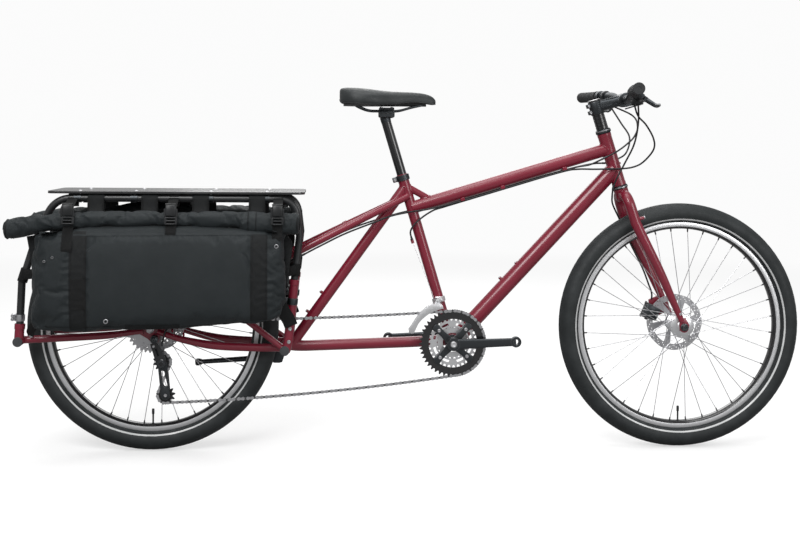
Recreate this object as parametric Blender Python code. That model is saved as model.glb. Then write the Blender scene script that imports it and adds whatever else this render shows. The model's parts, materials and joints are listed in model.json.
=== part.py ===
"""Longtail cargo bicycle: frame with a rear rack, deck and two side bags, fork, wheels and drivetrain.

Metres, +X forward, +Z up, the rider's right side at -Y. The ground is Z = 0, and the object's box is
centred on X = 0 and Y = 0. Side-view places are written at(x, z, y): x forward of the rear axle, z above
the ground, y to the rider's left.
"""

import math

import bmesh
import bpy
from mathutils import Matrix, Vector

GAP = 0.0003  # clearance left between pieces that touch
FLAT_ANGLE = 0.002  # faces that meet at less than this, in radians, are one flat face

# Wheels
WHEELBASE = 1.4665
TYRE_RADIUS = 0.3425
TYRE_HALF_WIDTH = 0.030
RIM_OUTER = 0.290
RIM_INNER = 0.271
RIM_HALF_WIDTH = 0.014
WHEEL_SIDES = 36
SPOKES_PER_SIDE = 18
SPOKE_RADIUS = 0.0009
ROTOR_RADIUS = 0.080
ROTOR_HALF_THICKNESS = 0.0009
FRONT_ROTOR_Y = 0.0404
REAR_ROTOR_Y = 0.0539
FRONT_HUB_HALF = 0.050
REAR_HUB_HALF = 0.0675
DROPOUT_THICKNESS = 0.007
AXLE_RADIUS = 0.005

# Overall length, which places the rear axle in a box centred on X = 0
REAR_OVERHANG = 0.367
REAR_AXLE_X = -(WHEELBASE + TYRE_RADIUS - REAR_OVERHANG) / 2

# Frame, as (x forward of the rear axle, z above the ground)
BB = (0.820, 0.300)
BB_HALF = 0.034
SEAT_TUBE_TOP = (0.6794, 0.7602)
HEAD_TOP = (1.2483, 0.8797)
HEAD_BOTTOM = (1.2941, 0.7339)
HEAD_RADIUS = 0.019
TOP_TUBE_RADIUS = 0.018
DOWN_TUBE_RADIUS = 0.022
SEAT_TUBE_RADIUS = 0.015
BOOM_RADIUS = 0.015
STAY_RADIUS = 0.010
CHAINSTAY_RADIUS = 0.011
LATERAL_RADIUS = 0.0127
LATERAL_HALF = 0.108
FRONT_LATERAL = (0.3618, 0.2883)
REAR_LATERAL = (-0.3411, 0.3138)

# Fork, measured along the steering axis from the bottom of the head tube
STEERER_RADIUS = 0.0143
STEM_CLAMP_S = (0.2100, 0.2520)
LEG_Y = 0.060

# Rack, deck and bags
RACK_Y = 0.095
RACK_RADIUS = 0.010
SOCKET_RADIUS = 0.0125
DECK_X = (-0.269, 0.412)
DECK_Z = (0.7073, 0.7143)
DECK_HALF_WIDTH = 0.110
CLAMP_X = (-0.189, -0.041, 0.159, 0.309)
BAG_Y = (0.112, 0.190)
ROLL_Y = 0.141

# Seat
POST_RADIUS = 0.0136

# Handlebar
BAR_CLAMP = (1.305, 0.974)
BAR_END = (1.258, 0.992)
BAR_HALF = 0.3365
GRIP_HALF = 0.340
GRIP_RADIUS = 0.0157
BAR_RADIUS = 0.0111
BAR_CENTRE_RADIUS = 0.0127

# Drivetrain
CRANK_LENGTH = 0.170
CRANK_RISE_DEG = 2.7
CHAIN_PITCH = 0.0127
RING_TEETH = (44, 32, 22)
RING_Y = (-0.0565, -0.0500, -0.0435)
COG_TEETH = (11, 13, 15, 18, 21, 24, 28, 34)
COG_Y = -0.0625  # the smallest cog
COG_SPACING = 0.0038
COG_HALF_THICKNESS = 0.0007
PULLEY_TEETH = 11
CHAIN_HALF_HEIGHT = 0.0042
CHAIN_HALF_WIDTH = 0.0028
UPPER_PULLEY = (0.0325, 0.252)
LOWER_PULLEY = (0.042, 0.163)
KICKSTAND_PIVOT = (0.335, 0.240)


# ---------------------------------------------------------------- places

SIDE = Vector((0, 1, 0))
UP = Vector((0, 0, 1))


def at(x, z, y=0.0):
    return Vector((x + REAR_AXLE_X, y, z))


def mirrored(point):
    return Vector((point[0], -point[1], point[2]))


def steer_point(s, forward=0.0, y=0.0):
    """A point s up the steering axis from the head tube's bottom, and forward square to that axis."""
    return at(*HEAD_BOTTOM) + STEER_UP * s + STEER_FORWARD * forward + Vector((0, y, 0))


STEER_UP = (at(*HEAD_TOP) - at(*HEAD_BOTTOM)).normalized()
STEER_FORWARD = Vector((STEER_UP.z, 0, -STEER_UP.x))
HEAD_LENGTH = (at(*HEAD_TOP) - at(*HEAD_BOTTOM)).length
SEAT_UP = (at(*SEAT_TUBE_TOP) - at(*BB)).normalized()


def pitch_radius(teeth):
    return CHAIN_PITCH / 2 / math.sin(math.pi / teeth)


def bore(radius, sides):
    """The corner radius of a bore with flat sides that clears a round of this radius."""
    return (radius + GAP) / math.cos(math.pi / sides)


# ---------------------------------------------------------------- meshes


def clear_scene():
    for item in list(bpy.data.objects):
        bpy.data.objects.remove(item, do_unlink=True)


def finish_mesh(bm):
    bm.normal_update()
    bmesh.ops.triangulate(bm, faces=bm.faces, ngon_method="EAR_CLIP")
    bmesh.ops.recalc_face_normals(bm, faces=bm.faces)
    mesh = bpy.data.meshes.new("shape")
    bm.to_mesh(mesh)
    bm.free()
    return mesh


def skin(rings, closed=False):
    """A mesh through rings of equal length, capped at both ends unless the rings close on themselves."""
    bm = bmesh.new()
    loops = [[bm.verts.new(p) for p in ring] for ring in rings]
    pairs = list(zip(loops, loops[1:]))
    if closed:
        pairs.append((loops[-1], loops[0]))
    for low, high in pairs:
        for i in range(len(low)):
            j = (i + 1) % len(low)
            bm.faces.new((low[i], low[j], high[j], high[i]))
    if not closed:
        bm.faces.new(loops[0])
        bm.faces.new(loops[-1])
    return finish_mesh(bm)


def path_frames(points):
    """Two directions square to a path at each of its points, carried along without twist."""
    frames = []
    across = None
    for before, after in zip(points[:1] + points[:-1], points[1:] + points[-1:]):
        ahead = (after - before).normalized()
        if across is None:
            across = SIDE if abs(ahead.y) < 0.9 else UP
        across = (across - ahead * across.dot(ahead)).normalized()
        frames.append((across.copy(), ahead.cross(across)))
    return frames


def tube(points, radii, sides=12):
    """A capped round tube along a path."""
    if not isinstance(radii, (list, tuple)):
        radii = [radii] * len(points)
    rings = []
    for point, radius, (across, up) in zip(points, radii, path_frames(points)):
        turns = [2 * math.pi * k / sides for k in range(sides)]
        rings.append([point + across * radius * math.cos(a) + up * radius * math.sin(a) for a in turns])
    return skin(rings)


def rounded(points, reach, steps=4):
    """The path with each inner corner replaced by a curve that starts and ends reach away from it."""
    path = [points[0]]
    for before, corner, after in zip(points, points[1:], points[2:]):
        start = corner + (before - corner).normalized() * min(reach, (before - corner).length / 2)
        end = corner + (after - corner).normalized() * min(reach, (after - corner).length / 2)
        for k in range(steps + 1):
            t = k / steps
            path.append(start.lerp(corner, t).lerp(corner.lerp(end, t), t))
    path.append(points[-1])
    return path


def revolve(profile, origin, axis, sides):
    """A turned piece: profile is a closed outline of (radius, distance along the axis)."""
    axis = axis.normalized()
    guide = SIDE if abs(axis.y) < 0.9 else UP
    across = (guide - axis * guide.dot(axis)).normalized()
    up = axis.cross(across)
    rings = []
    for k in range(sides):
        turn = 2 * math.pi * k / sides
        out = across * math.cos(turn) + up * math.sin(turn)
        rings.append([origin + out * r + axis * s for r, s in profile])
    bm = bmesh.new()
    loops = [[bm.verts.new(p) for p in ring] for ring in rings]
    for k in range(sides):
        low, high = loops[k], loops[(k + 1) % sides]
        for i in range(len(profile)):
            j = (i + 1) % len(profile)
            if profile[i][0] == 0 and profile[j][0] == 0:
                continue
            bm.faces.new((low[i], low[j], high[j], high[i]))
    on_axis = [v for loop in loops for v, (r, s) in zip(loop, profile) if r == 0]
    bmesh.ops.remove_doubles(bm, verts=on_axis, dist=1e-6)
    bmesh.ops.dissolve_degenerate(bm, edges=bm.edges, dist=1e-7)
    return finish_mesh(bm)


def rod(start, end, radius, sides=12):
    return tube([start, end], radius, sides)


def ring(inner, outer, low, high, origin, axis, sides):
    """A collar round an axis, from low to high along it."""
    return revolve([(inner, low), (outer, low), (outer, high), (inner, high)], origin, axis, sides)


def prism(outline, origin, u, v, low, high):
    """An outline in the plane of u and v, drawn out from low to high square to it."""
    w = u.cross(v)
    rings = [[origin + u * a + v * b + w * d for a, b in outline] for d in (low, high)]
    return skin(rings)


def side_plate(outline, y_low, y_high):
    """A plate parallel to the side view: outline points are (x, z) as at() reads them."""
    rings = [[at(x, z, y) for x, z in outline] for y in (y_low, y_high)]
    return skin(rings)


def block(low, high):
    """A box between two corners."""
    corners = [(low[0], low[1]), (high[0], low[1]), (high[0], high[1]), (low[0], high[1])]
    return skin([[Vector((x, y, z)) for x, y in corners] for z in (low[2], high[2])])


def mirror_mesh(mesh):
    copy = mesh.copy()
    copy.transform(Matrix.Scale(-1, 4, SIDE))
    copy.flip_normals()
    return copy


def combine(base, tool, operation):
    """The base mesh after one exact Boolean with the tool mesh, with its slivers cleared."""
    scene = bpy.context.scene.collection
    body = bpy.data.objects.new("body", base)
    helper = bpy.data.objects.new("helper", tool)
    scene.objects.link(body)
    scene.objects.link(helper)
    modifier = body.modifiers.new("join", "BOOLEAN")
    modifier.operation = operation
    modifier.object = helper
    modifier.solver = "EXACT"
    evaluated = body.evaluated_get(bpy.context.evaluated_depsgraph_get())
    bm = bmesh.new()
    bm.from_mesh(evaluated.data)
    bmesh.ops.remove_doubles(bm, verts=bm.verts, dist=2e-6)
    bmesh.ops.dissolve_degenerate(bm, edges=bm.edges, dist=1e-6)
    bmesh.ops.holes_fill(bm, edges=[e for e in bm.edges if e.is_boundary])
    bmesh.ops.dissolve_limit(bm, angle_limit=FLAT_ANGLE, verts=bm.verts, edges=bm.edges)
    bpy.data.objects.remove(body, do_unlink=True)
    bpy.data.objects.remove(helper, do_unlink=True)
    return finish_mesh(bm)


def join(meshes):
    body = meshes[0]
    for mesh in meshes[1:]:
        body = combine(body, mesh, "UNION")
    return body


def cut(body, tools):
    for mesh in tools:
        body = combine(body, mesh, "DIFFERENCE")
    return body


def both_sides(mesh):
    return [mesh, mirror_mesh(mesh)]


# ---------------------------------------------------------------- materials


def finish(name, colour, metallic, roughness):
    material = bpy.data.materials.new(name)
    material.use_nodes = True
    shader = material.node_tree.nodes["Principled BSDF"]
    shader.inputs["Base Color"].default_value = (*colour, 1)
    shader.inputs["Metallic"].default_value = metallic
    shader.inputs["Roughness"].default_value = roughness
    return material


FINISHES = {
    "red_paint": ((0.22, 0.012, 0.035), 0.0, 0.18),
    "black_paint": ((0.012, 0.012, 0.013), 0.0, 0.35),
    "black_alloy": ((0.020, 0.020, 0.022), 0.6, 0.35),
    "rubber": ((0.030, 0.032, 0.034), 0.0, 0.75),
    "rim_alloy": ((0.45, 0.45, 0.46), 0.9, 0.35),
    "steel": ((0.55, 0.55, 0.55), 1.0, 0.28),
    "fabric": ((0.022, 0.026, 0.030), 0.0, 0.85),
    "plastic": ((0.020, 0.021, 0.023), 0.0, 0.5),
    "deck_board": ((0.030, 0.028, 0.028), 0.0, 0.3),
}


def solid(name, mesh, look, pivot=None, parent=None):
    """One named piece, with its origin at pivot and parented to the empty that moves it."""
    origin = Vector(pivot) if pivot is not None else Vector((0, 0, 0))
    mesh.name = name
    mesh.transform(Matrix.Translation(-origin))
    mesh.materials.clear()
    mesh.materials.append(MATERIALS[look])
    mesh.shade_smooth()
    mesh.set_sharp_from_angle(angle=math.radians(35))
    piece = bpy.data.objects.new(name, mesh)
    bpy.context.scene.collection.objects.link(piece)
    if parent is not None:
        piece.parent = parent
        origin = origin - Vector(parent["place"])
    piece.location = origin
    return piece


def pivot_empty(name, place, parent=None):
    """An empty on a joint's axis, which its moving pieces hang from."""
    empty = bpy.data.objects.new(name, None)
    bpy.context.scene.collection.objects.link(empty)
    empty["place"] = tuple(place)
    empty.location = place
    if parent is not None:
        empty.parent = parent
        empty.location = Vector(place) - Vector(parent["place"])
    return empty


# ---------------------------------------------------------------- frame


def main_tubes():
    head_top, head_bottom = at(*HEAD_TOP), at(*HEAD_BOTTOM)
    return [
        rod(head_bottom, head_top, HEAD_RADIUS, 16),
        rod(at(0.7085, 0.6685), at(1.2605, 0.8363), TOP_TUBE_RADIUS, 12),
        rod(at(0.828, 0.2953), at(1.2775, 0.7790), DOWN_TUBE_RADIUS, 12),
        rod(at(*BB), at(*SEAT_TUBE_TOP), SEAT_TUBE_RADIUS, 16),
        rod(at(0.6890, 0.7300), at(0.7590, 0.6910), 0.0095, 8),
        rod(at(BB[0], BB[1], -BB_HALF), at(BB[0], BB[1], BB_HALF), 0.0205, 16),
    ]


def long_tail_tubes():
    """The boom and the brace in the middle plane, and the front cross tube that both meet."""
    boom = [at(0.815, 0.2995), at(0.703, 0.294), at(0.395, 0.284), at(0.3625, 0.2885)]
    brace = [at(0.6900, 0.7262), at(0.5256, 0.496), at(0.4498, 0.3897), at(0.3805, 0.2925)]
    x, z = FRONT_LATERAL
    return [
        tube(boom, BOOM_RADIUS, 12),
        tube(brace, BOOM_RADIUS - 0.0002, 12),
        rod(at(x, z, -LATERAL_HALF), at(x, z, LATERAL_HALF), LATERAL_RADIUS, 12),
    ]


def side_tubes():
    """The tubes on the right side, which the left side mirrors."""
    seatstay = [at(0.696, 0.7010, -0.008), at(0.4026, 0.5548, -0.060), at(0.150, 0.4215, -0.070),
                at(0.070, 0.3794, -0.0760), at(0.022, 0.3540, -0.0760)]
    chainstay = [at(0.3622, 0.2880, -0.052), at(0.281, 0.289, -0.054), at(0.171, 0.296, -0.061),
                 at(0.090, 0.313, -0.0715), at(0.050, 0.326, -0.0760), at(0.020, 0.336, -0.0760)]
    strut = [at(0.3600, 0.2895, -0.088), at(0.281, 0.348, -0.073), at(0.170, 0.430, -0.0692)]
    lower = [at(-0.3411, 0.3140, -0.0725), at(-0.132, 0.324, -0.070), at(-0.060, 0.3330, -0.0765),
             at(-0.018, 0.3375, -0.0765)]
    x, z = REAR_LATERAL
    return [
        tube(seatstay, [STAY_RADIUS, STAY_RADIUS, STAY_RADIUS, 0.0075, 0.0070], 10),
        tube(chainstay, [CHAINSTAY_RADIUS] * 3 + [0.0100, 0.0080, 0.0070], 10),
        tube(strut, 0.0085, 8),
        tube(lower, [STAY_RADIUS, STAY_RADIUS, 0.0080, 0.0070], 10),
        rod(at(x, z, -0.0635), at(x, z, -LATERAL_HALF), LATERAL_RADIUS, 12),
        tube([at(0.3640, 0.2860, -RACK_Y), at(0.370, 0.300, -RACK_Y), at(0.386, 0.479, -RACK_Y)],
             SOCKET_RADIUS - 0.0001, 12),
        rod(at(x, z - 0.004, -RACK_Y), at(-0.338, 0.361, -RACK_Y), SOCKET_RADIUS - 0.0001, 12),
        side_plate([(-0.030, 0.3310), (-0.006, 0.3170), (0.004, 0.3110), (0.013, 0.3090), (0.023, 0.3140),
                    (0.026, 0.3235), (0.036, 0.3330), (0.040, 0.3480), (0.032, 0.3650), (0.008, 0.3610),
                    (-0.018, 0.3560), (-0.031, 0.3450)],
                   -REAR_HUB_HALF - DROPOUT_THICKNESS, -REAR_HUB_HALF),
    ]


def rear_brake_tab():
    """The plate on the left seatstay that the rear caliper is bolted to."""
    return side_plate([(0.026, 0.3600), (0.084, 0.3890), (0.066, 0.4260), (0.020, 0.4330)], 0.0668, 0.0738)


def make_frame():
    right = side_tubes()
    tubes = main_tubes() + long_tail_tubes() + right + [mirror_mesh(m) for m in right]
    tubes.append(rear_brake_tab())
    body = join(tubes)
    bores = [
        rod(steer_point(-0.03), steer_point(HEAD_LENGTH + 0.03), 0.0168, 16),
        rod(at(*BB) + SEAT_UP * 0.10, at(*SEAT_TUBE_TOP) + SEAT_UP * 0.02, bore(POST_RADIUS, 16), 16),
        rod(at(BB[0], BB[1], -0.06), at(BB[0], BB[1], 0.06), 0.0178, 16),
        rod(at(0, TYRE_RADIUS, -0.10), at(0, TYRE_RADIUS, 0.10), bore(AXLE_RADIUS, 10), 10),
    ]
    solid("frame", cut(body, bores), "red_paint")


def make_frame_fittings():
    top = at(*SEAT_TUBE_TOP)
    collar = ring(bore(SEAT_TUBE_RADIUS, 16), 0.0190, -0.017, -0.001, top, SEAT_UP, 16)
    back = Vector((-SEAT_UP.z, 0, SEAT_UP.x))
    ear = prism([(0.0172, -0.0085), (0.0290, -0.0085), (0.0290, 0.0085), (0.0172, 0.0085)],
                top - SEAT_UP * 0.009, back, SIDE, -0.007, 0.007)
    solid("seat_clamp", join([collar, ear]), "black_alloy")
    inner = bore(STEERER_RADIUS, 16)
    upper = [(inner, GAP), (0.0205, GAP), (0.0220, 0.004), (0.0220, 0.010), (0.0185, 0.0125), (inner, 0.0125)]
    solid("headset_upper_cup", revolve(upper, at(*HEAD_TOP), STEER_UP, 16), "black_alloy")
    lower = [(inner, -GAP), (0.0205, -GAP), (0.0225, -0.004), (0.0225, -0.009), (inner, -0.009)]
    solid("headset_lower_cup", revolve(lower, at(*HEAD_BOTTOM), STEER_UP, 16), "black_alloy")
    reach = BB_HALF + GAP
    shell = [(0.0092, -reach - 0.004), (0.0198, -reach - 0.004), (0.0198, -reach), (0.0170, -reach),
             (0.0170, reach), (0.0198, reach), (0.0198, reach + 0.004), (0.0092, reach + 0.004)]
    solid("bottom_bracket", revolve(shell, at(*BB), SIDE, 12), "black_alloy")


def make_rack():
    path = [at(0.3862, 0.4794, -RACK_Y), at(0.399, 0.596, -RACK_Y), at(0.3865, 0.695, -RACK_Y),
            at(-0.250, 0.695, -RACK_Y), at(-0.303, 0.571, -RACK_Y), at(-0.334, 0.470, -RACK_Y),
            at(-0.338, 0.3614, -RACK_Y)]
    path = [path[0], path[1], *rounded(path[1:5], 0.048, 4)[1:-1], path[4], path[5], path[6]]
    for name, mesh in zip(("rack_loop_right", "rack_loop_left"), both_sides(tube(path, RACK_RADIUS, 10))):
        solid(name, mesh, "black_paint")
    corner = 0.020
    x0, x1 = (x + REAR_AXLE_X for x in DECK_X)
    outline = []
    for cx, cy, start in ((x1, 1, 0), (x0, 1, 90), (x0, -1, 180), (x1, -1, 270)):
        centre = (cx - corner if cx == x1 else cx + corner, cy * (DECK_HALF_WIDTH - corner))
        for k in range(5):
            turn = math.radians(start + 22.5 * k)
            outline.append((centre[0] + corner * math.cos(turn), centre[1] + corner * math.sin(turn)))
    deck = skin([[Vector((x, y, z)) for x, y in outline] for z in DECK_Z])
    solid("deck", deck, "deck_board")
    reach = RACK_Y - RACK_RADIUS - GAP
    for number, x in enumerate(CLAMP_X, 1):
        centre = x + REAR_AXLE_X
        bar = block((centre - 0.011, -reach, 0.6880), (centre + 0.011, reach, DECK_Z[0] - GAP))
        solid(f"deck_clamp_{number}", bar, "black_alloy")


# ---------------------------------------------------------------- bags


def bag_section(x, low, high, inner, outer, bulge):
    """One closed slice of a bag across the bicycle: a flat inner face and a rounded outer one."""
    mid = (low + high) / 2
    reach = (high - low) / 2
    points = [(inner, low + 0.010), (inner, mid), (inner, high - 0.010)]
    for k in range(7):
        turn = math.pi / 2 - math.pi * k / 6
        y = outer - 0.028 + (0.028 + bulge) * math.cos(turn)
        points.append((y, mid + reach * math.sin(turn)))
    return [at(x, z, -y) for y, z in points]


def make_bags():
    """Each bag is one piece: its body, and the flap rolled up along its top edge."""
    slices = [
        (-0.293, 0.360, 0.598, 0.004, -0.030), (-0.280, 0.349, 0.606, 0.0, -0.010),
        (-0.140, 0.343, 0.626, 0.0, 0.0), (0.0, 0.343, 0.630, 0.0, 0.0), (0.150, 0.352, 0.630, 0.0, 0.0),
        (0.285, 0.365, 0.622, 0.0, -0.002), (0.350, 0.384, 0.616, 0.0, -0.010),
        (0.368, 0.440, 0.614, 0.004, -0.030),
    ]
    body = skin([bag_section(x, low, high, BAG_Y[0] + tuck, BAG_Y[1], bulge)
                 for x, low, high, tuck, bulge in slices])
    stations = [(-0.367, 0.613, 0.014, 0.020), (-0.350, 0.615, 0.026, 0.028), (-0.270, 0.630, 0.026, 0.029),
                (-0.150, 0.640, 0.022, 0.029), (0.020, 0.642, 0.021, 0.029), (0.200, 0.642, 0.022, 0.029),
                (0.262, 0.636, 0.028, 0.029), (0.320, 0.633, 0.030, 0.030), (0.385, 0.632, 0.031, 0.030),
                (0.400, 0.632, 0.022, 0.022)]
    rings = []
    for x, z, half_height, half_width in stations:
        turns = [2 * math.pi * k / 12 for k in range(12)]
        rings.append([at(x, z + half_height * math.sin(t), -ROLL_Y - half_width * math.cos(t))
                      for t in turns])
    whole = join([body, skin(rings)])
    for name, mesh in zip(("bag_right", "bag_left"), both_sides(whole)):
        solid(name, mesh, "fabric")


# ---------------------------------------------------------------- seat


def make_seat():
    centre = at(*SEAT_TUBE_TOP)
    seat = pivot_empty("seat_height", centre)
    post = rod(centre - SEAT_UP * 0.150, centre + SEAT_UP * 0.1735, POST_RADIUS, 16)
    head = [(-0.029, -0.018), (0.029, -0.018), (0.029, -0.0038), (0.0184, -0.0046), (0.0184, 0.0046),
            (0.029, 0.0038), (0.029, 0.010), (-0.029, 0.010), (-0.029, 0.0038), (-0.0184, 0.0046),
            (-0.0184, -0.0046), (-0.029, -0.0038)]
    cradle = prism(head, at(0.635, 0.936), SIDE, UP, -0.023, 0.023)
    solid("seatpost", join([post, cradle]), "black_alloy", centre, seat)
    right = [at(0.557, 0.9475, -0.036), at(0.585, 0.936, -0.022), at(0.668, 0.936, -0.022),
             at(0.706, 0.9475, -0.017), at(0.738, 0.9475, -0.010)]
    path = rounded(right + [mirrored(p) for p in reversed(right)], 0.010, 2)
    solid("saddle_rails", tube(path, 0.0035, 6), "black_alloy", centre, seat)
    solid("saddle", saddle_shell(), "rubber", centre, seat)


def saddle_shell():
    """A padded saddle as slices across it: (x, half width, underside, shoulder drop, top)."""
    slices = [
        (0.504, 0.030, 0.968, 0.010, 0.992), (0.512, 0.056, 0.956, 0.012, 0.998),
        (0.540, 0.078, 0.952, 0.016, 1.001), (0.580, 0.078, 0.952, 0.018, 0.999),
        (0.620, 0.062, 0.952, 0.018, 0.995), (0.660, 0.042, 0.952, 0.016, 0.992),
        (0.700, 0.029, 0.952, 0.014, 0.990), (0.740, 0.023, 0.952, 0.014, 0.988),
        (0.764, 0.019, 0.954, 0.014, 0.983), (0.773, 0.010, 0.960, 0.008, 0.974),
    ]
    rings = []
    for x, half, low, drop, top in slices:
        right = [(0.0, top), (half * 0.5, top - drop * 0.15), (half * 0.85, top - drop * 0.6),
                 (half, top - drop * 1.5), (half * 0.97, low + 0.004), (half * 0.8, low), (0.0, low)]
        left = [(-y, z) for y, z in reversed(right[1:-1])]
        rings.append([at(x, z, y) for y, z in right + left])
    return skin(rings)


# ---------------------------------------------------------------- wheels


def wheel_tyre(centre):
    half = [(0.2905, 0.0125), (0.2980, 0.0235), (0.3120, TYRE_HALF_WIDTH), (0.3270, 0.0265),
            (0.3375, 0.0150), (TYRE_RADIUS, 0.0040)]
    profile = half + [(r, -y) for r, y in reversed(half)]
    return revolve(profile, centre, SIDE, WHEEL_SIDES)


def wheel_rim(centre):
    half = [(RIM_INNER, 0.0070), (0.2765, RIM_HALF_WIDTH), (RIM_OUTER - GAP, RIM_HALF_WIDTH),
            (0.2800, 0.0100)]
    profile = half + [(r, -y) for r, y in reversed(half)]
    return revolve(profile, centre, SIDE, WHEEL_SIDES)


def spokes(centre, flanges):
    """Spokes laced three-cross: those of a flange leave it by turns forwards and backwards."""
    rods = []
    rim_end = RIM_INNER * math.cos(math.pi / WHEEL_SIDES) - 2 * GAP
    for side, (flange_y, flange_radius) in enumerate(flanges):
        for k in range(SPOKES_PER_SIDE):
            way = 1 if k % 2 else -1
            hole = math.radians(20 * k + 10 * side + 5)
            rim = hole + way * math.radians(60)
            out_y = flange_y + way * 0.0022
            start = Vector(((flange_radius - 0.004) * math.cos(hole), out_y,
                            (flange_radius - 0.004) * math.sin(hole)))
            end = Vector((rim_end * math.cos(rim), math.copysign(0.003, flange_y) + way * 0.0002,
                          rim_end * math.sin(rim)))
            rods.append(rod(centre + start, centre + end, SPOKE_RADIUS, 4))
    return rods


def flange_hub(centre, right_end, left_end, body):
    """A hub shell turned about the axle: body lists (distance along the axle, radius)."""
    wall = bore(AXLE_RADIUS, 10) + 0.0004
    profile = [(wall, -right_end), *((r, y) for y, r in body), (wall, left_end)]
    return revolve(profile, centre, SIDE, 12)


def make_front_wheel(parent):
    centre = at(WHEELBASE, TYRE_RADIUS)
    wheel = pivot_empty("front_wheel_spin", centre, parent)
    end = FRONT_HUB_HALF - GAP
    body = [(-end, 0.0095), (-0.0400, 0.0095), (-0.0380, 0.0150), (-0.0345, 0.0335), (-0.0310, 0.0335),
            (-0.0280, 0.0170), (0.0180, 0.0150), (0.0235, 0.0280), (0.0270, 0.0280), (0.0290, 0.0220),
            (FRONT_ROTOR_Y - ROTOR_HALF_THICKNESS - GAP, 0.0220),
            (FRONT_ROTOR_Y - ROTOR_HALF_THICKNESS - GAP, 0.0095), (end, 0.0095)]
    hub = flange_hub(centre, end, end, body)
    laced = join([hub, *spokes(centre, ((-0.0327, 0.0335), (0.0253, 0.0280)))])
    solid("front_hub_and_spokes", laced, "steel", centre, wheel)
    solid("front_rim", wheel_rim(centre), "rim_alloy", centre, wheel)
    solid("front_tyre", wheel_tyre(centre), "rubber", centre, wheel)
    rotor = ring(0.0105, ROTOR_RADIUS, FRONT_ROTOR_Y - ROTOR_HALF_THICKNESS,
                 FRONT_ROTOR_Y + ROTOR_HALF_THICKNESS, centre, SIDE, 24)
    solid("front_rotor", rotor, "steel", centre, wheel)


def make_rear_wheel():
    centre = at(0, TYRE_RADIUS)
    wheel = pivot_empty("rear_wheel_spin", centre)
    end = REAR_HUB_HALF - GAP
    body = [(-0.0325, 0.0110), (-0.0325, 0.0200), (-0.0295, 0.0270), (-0.0260, 0.0270), (-0.0235, 0.0190),
            (0.0290, 0.0170), (0.0335, 0.0270), (0.0370, 0.0270), (0.0390, 0.0220),
            (REAR_ROTOR_Y - ROTOR_HALF_THICKNESS - GAP, 0.0220),
            (REAR_ROTOR_Y - ROTOR_HALF_THICKNESS - GAP, 0.0095), (end, 0.0095)]
    hub = flange_hub(centre, 0.0325, end, body)
    laced = join([hub, *spokes(centre, ((-0.0278, 0.0270), (0.0352, 0.0270)))])
    solid("rear_hub_and_spokes", laced, "steel", centre, wheel)
    solid("rear_rim", wheel_rim(centre), "rim_alloy", centre, wheel)
    solid("rear_tyre", wheel_tyre(centre), "rubber", centre, wheel)
    rotor = ring(0.0105, ROTOR_RADIUS, REAR_ROTOR_Y - ROTOR_HALF_THICKNESS,
                 REAR_ROTOR_Y + ROTOR_HALF_THICKNESS, centre, SIDE, 24)
    solid("rear_rotor", rotor, "steel", centre, wheel)
    axle_mesh = axle(centre, REAR_HUB_HALF + DROPOUT_THICKNESS + GAP, 0.010)
    solid("rear_axle", axle_mesh, "steel")


def axle(centre, shoulder, nut):
    """A shaft with a nut outside each dropout."""
    profile = [(0, -shoulder - nut), (0.0085, -shoulder - nut), (0.0110, -shoulder - nut + 0.002),
               (0.0110, -shoulder), (AXLE_RADIUS, -shoulder), (AXLE_RADIUS, shoulder), (0.0110, shoulder),
               (0.0110, shoulder + nut - 0.002), (0.0085, shoulder + nut), (0, shoulder + nut)]
    return revolve(profile, centre, SIDE, 10)


def make_caliper(name, centre, angle_deg, rotor_y, y_low, y_high, parent=None, pivot=None):
    """A disc caliper: a U round the rotor's edge, drawn out along the rotor's tangent."""
    turn = math.radians(angle_deg)
    radial = Vector((math.cos(turn), 0, math.sin(turn)))
    slot = 0.0022
    low, deep, top = 0.052, 0.0845, 0.098
    outline = [(low, y_low), (low, rotor_y - slot), (deep, rotor_y - slot), (deep, rotor_y + slot),
               (low, rotor_y + slot), (low, y_high), (top - 0.006, y_high), (top, y_high - 0.006),
               (top, y_low + 0.006), (top - 0.006, y_low)]
    body = prism(outline, centre, radial, SIDE, -0.021, 0.021)
    solid(name, body, "black_alloy", pivot, parent)


# ---------------------------------------------------------------- fork and cockpit


def tapered(points, marks):
    """A radius for each point of a path, from marks of (share of the path's length, radius)."""
    reached = [0.0]
    for before, after in zip(points, points[1:]):
        reached.append(reached[-1] + (after - before).length)
    radii = []
    for length in reached:
        share = length / reached[-1]
        for (s0, r0), (s1, r1) in zip(marks, marks[1:]):
            if share <= s1:
                radii.append(r0 + (r1 - r0) * (share - s0) / (s1 - s0))
                break
    return radii


def fork_leg():
    """The right leg with its shoulder, from the crown down to the dropout."""
    shoulder = rounded([steer_point(-0.0230, 0, -0.004), steer_point(-0.0330, 0, -0.0575),
                        steer_point(-0.105, 0, -LEG_Y)], 0.034, 4)
    points = [*shoulder, at(1.352, 0.580, -LEG_Y), at(1.395, 0.497, -0.0595), at(1.431, 0.420, -0.0575),
              at(1.4615, 0.3560, -0.0545)]
    return tube(points, tapered(points, ((0, 0.0150), (0.5, 0.0138), (1.0001, 0.0075))), 10)


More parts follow.
